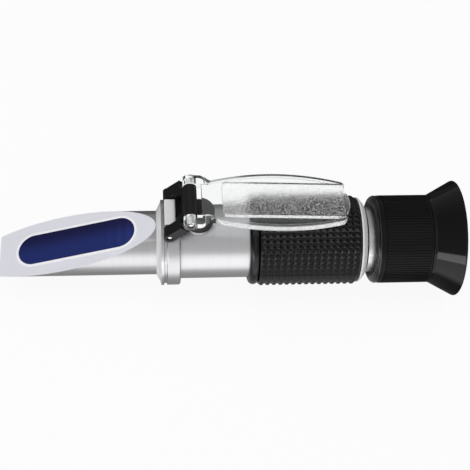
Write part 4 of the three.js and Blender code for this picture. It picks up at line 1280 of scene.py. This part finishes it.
def floor_material():
    """A pale floor that shows white to the camera, and in metal a painted shade under and behind the object
    and under the eyepiece end, with a painted glowing strip in front.
    """
    material, tree, shader = new_material("pale_floor")
    shader.inputs["Base Color"].default_value = (0.9, 0.9, 0.9, 1)
    shader.inputs["Roughness"].default_value = 0.9
    path = node(tree, "LightPath").outputs
    spot = node(tree, "SeparateXYZ", {0: node(tree, "TexCoord").outputs["Object"]}).outputs
    # Seen only in reflections: painted shade under and behind the object and under the eyepiece end, and a
    # painted glowing strip in front.
    below = ramp(tree, spot["Y"], 0.03, -0.03, 0.13, 0.5)
    eye_end = ramp(tree, spot["X"], 0.05, 0.075, 1.0, 0.2)
    lit = ramp(tree, spot["Y"], -0.034, -0.046, 0.0, 1.3)
    level = calc(tree, "ADD", calc(tree, "MULTIPLY", below, eye_end), lit)
    mirrored_only = calc(tree, "SUBTRACT", path["Is Glossy Ray"], path["Is Transmission Ray"], clamp=True)
    strength = mix(tree, mirrored_only, 1.0, level)
    white = node(tree, "Emission", {"Color": (1, 1, 1, 1), "Strength": strength}).outputs[0]
    seen = calc(tree, "MAXIMUM", path["Is Camera Ray"], path["Is Transmission Ray"])
    shown = calc(tree, "MAXIMUM", calc(tree, "MULTIPLY", seen, 0.92), mirrored_only)
    mixed = node(tree, "MixShader", {0: shown, 1: shader.outputs[0], 2: white})
    tree.links.new(mixed.outputs[0], tree.nodes["Material Output"].inputs["Surface"])
    return material


def soft_room():
    """A world that is white to the camera, and in metal dimmer to the sides and behind."""
    world = bpy.data.worlds.new("soft_room")
    world.use_nodes = True
    tree = world.node_tree
    path = node(tree, "LightPath").outputs
    seen = calc(tree, "MAXIMUM", path["Is Camera Ray"], path["Is Transmission Ray"])
    facing = node(tree, "SeparateXYZ", {0: node(tree, "TexCoord").outputs["Generated"]}).outputs
    sides = ramp(tree, calc(tree, "ABSOLUTE", facing["X"]), 0.45, 0.75, 1.0, 0.3)
    room = ramp(tree, facing["Y"], -0.5, 0.5, 0.7, 0.4, kind="SMOOTHSTEP")
    around = calc(tree, "MULTIPLY", room, sides)
    reflected = mix(tree, path["Is Glossy Ray"], 0.4, around)
    background = tree.nodes["Background"]
    tree.links.new(mix(tree, seen, reflected, 1.0), background.inputs["Strength"])
    background.inputs["Color"].default_value = (1, 1, 1, 1)
    return world


class REFRACTOMETER_OT_stage(bpy.types.Operator):
    """Set the pale floor, the soft lamps, the world and the camera"""

    bl_idname = "refractometer.stage"
    bl_label = "Floor, Lamps and Camera"

    def execute(self, context):
        scene = context.scene
        scene.view_settings.view_transform = "Standard"

        shape = bmesh.new()
        bmesh.ops.create_grid(shape, x_segments=1, y_segments=1, size=3)
        mesh = bpy.data.meshes.new("pale_floor")
        shape.to_mesh(mesh)
        shape.free()
        floor = bpy.data.objects.new("pale_floor", mesh)
        scene.collection.objects.link(floor)
        floor.location.z = -FLOOR_DROP
        mesh.materials.append(floor_material())
        scene.world = soft_room()
        for settings in LAMPS:
            lamp(*settings)

        data = bpy.data.cameras.new("camera")
        data.lens, data.sensor_width = 87.67, 36
        data.clip_start, data.clip_end = 0.01, 20
        camera = bpy.data.objects.new("camera", data)
        scene.collection.objects.link(camera)
        scene.camera = camera
        back = Vector(CAMERA_BACK).normalized()
        level_right = Vector((0, 0, 1)).cross(back).normalized()
        level_up = back.cross(level_right)
        right = level_right * math.cos(CAMERA_ROLL) + level_up * math.sin(CAMERA_ROLL)
        turn = Matrix((right, back.cross(right), back)).transposed().to_4x4()
        camera.matrix_world = Matrix.Translation(CAMERA_PLACE) @ turn
        return {"FINISHED"}


PIECES = (
    REFRACTOMETER_OT_nose, REFRACTOMETER_OT_collar, REFRACTOMETER_OT_tube, REFRACTOMETER_OT_hinge,
    REFRACTOMETER_OT_lid, REFRACTOMETER_OT_grip, REFRACTOMETER_OT_eyepiece, REFRACTOMETER_OT_inside,
    REFRACTOMETER_OT_stage,
)


class REFRACTOMETER_PT_pieces(bpy.types.Panel):
    """Lists the pieces, sizes and colours of the refractometer"""

    bl_idname = "REFRACTOMETER_PT_pieces"
    bl_label = "Hand Refractometer"
    bl_space_type = "VIEW_3D"
    bl_region_type = "UI"
    bl_category = "Refractometer"

    def draw(self, context):
        for operator in PIECES:
            self.layout.operator(operator.bl_idname)
        for group in (context.scene.refractometer_sizes, context.scene.refractometer_colours):
            box = self.layout.box()
            for key in group.bl_rna.properties.keys():
                if key not in ("rna_type", "name"):
                    box.prop(group, key)


CLASSES = (RefractometerSizes, RefractometerColours, *PIECES, REFRACTOMETER_PT_pieces)


def register():
    for item in CLASSES:
        bpy.utils.register_class(item)
    bpy.types.Scene.refractometer_sizes = bpy.props.PointerProperty(type=RefractometerSizes)
    bpy.types.Scene.refractometer_colours = bpy.props.PointerProperty(type=RefractometerColours)


def unregister():
    del bpy.types.Scene.refractometer_colours
    del bpy.types.Scene.refractometer_sizes
    for item in reversed(CLASSES):
        bpy.utils.unregister_class(item)


def main():
    """Makes every piece and the stage."""
    register()
    for operator in PIECES:
        group, name = operator.bl_idname.split(".")
        getattr(getattr(bpy.ops, group), name)()


if __name__ == "__main__":
    main()
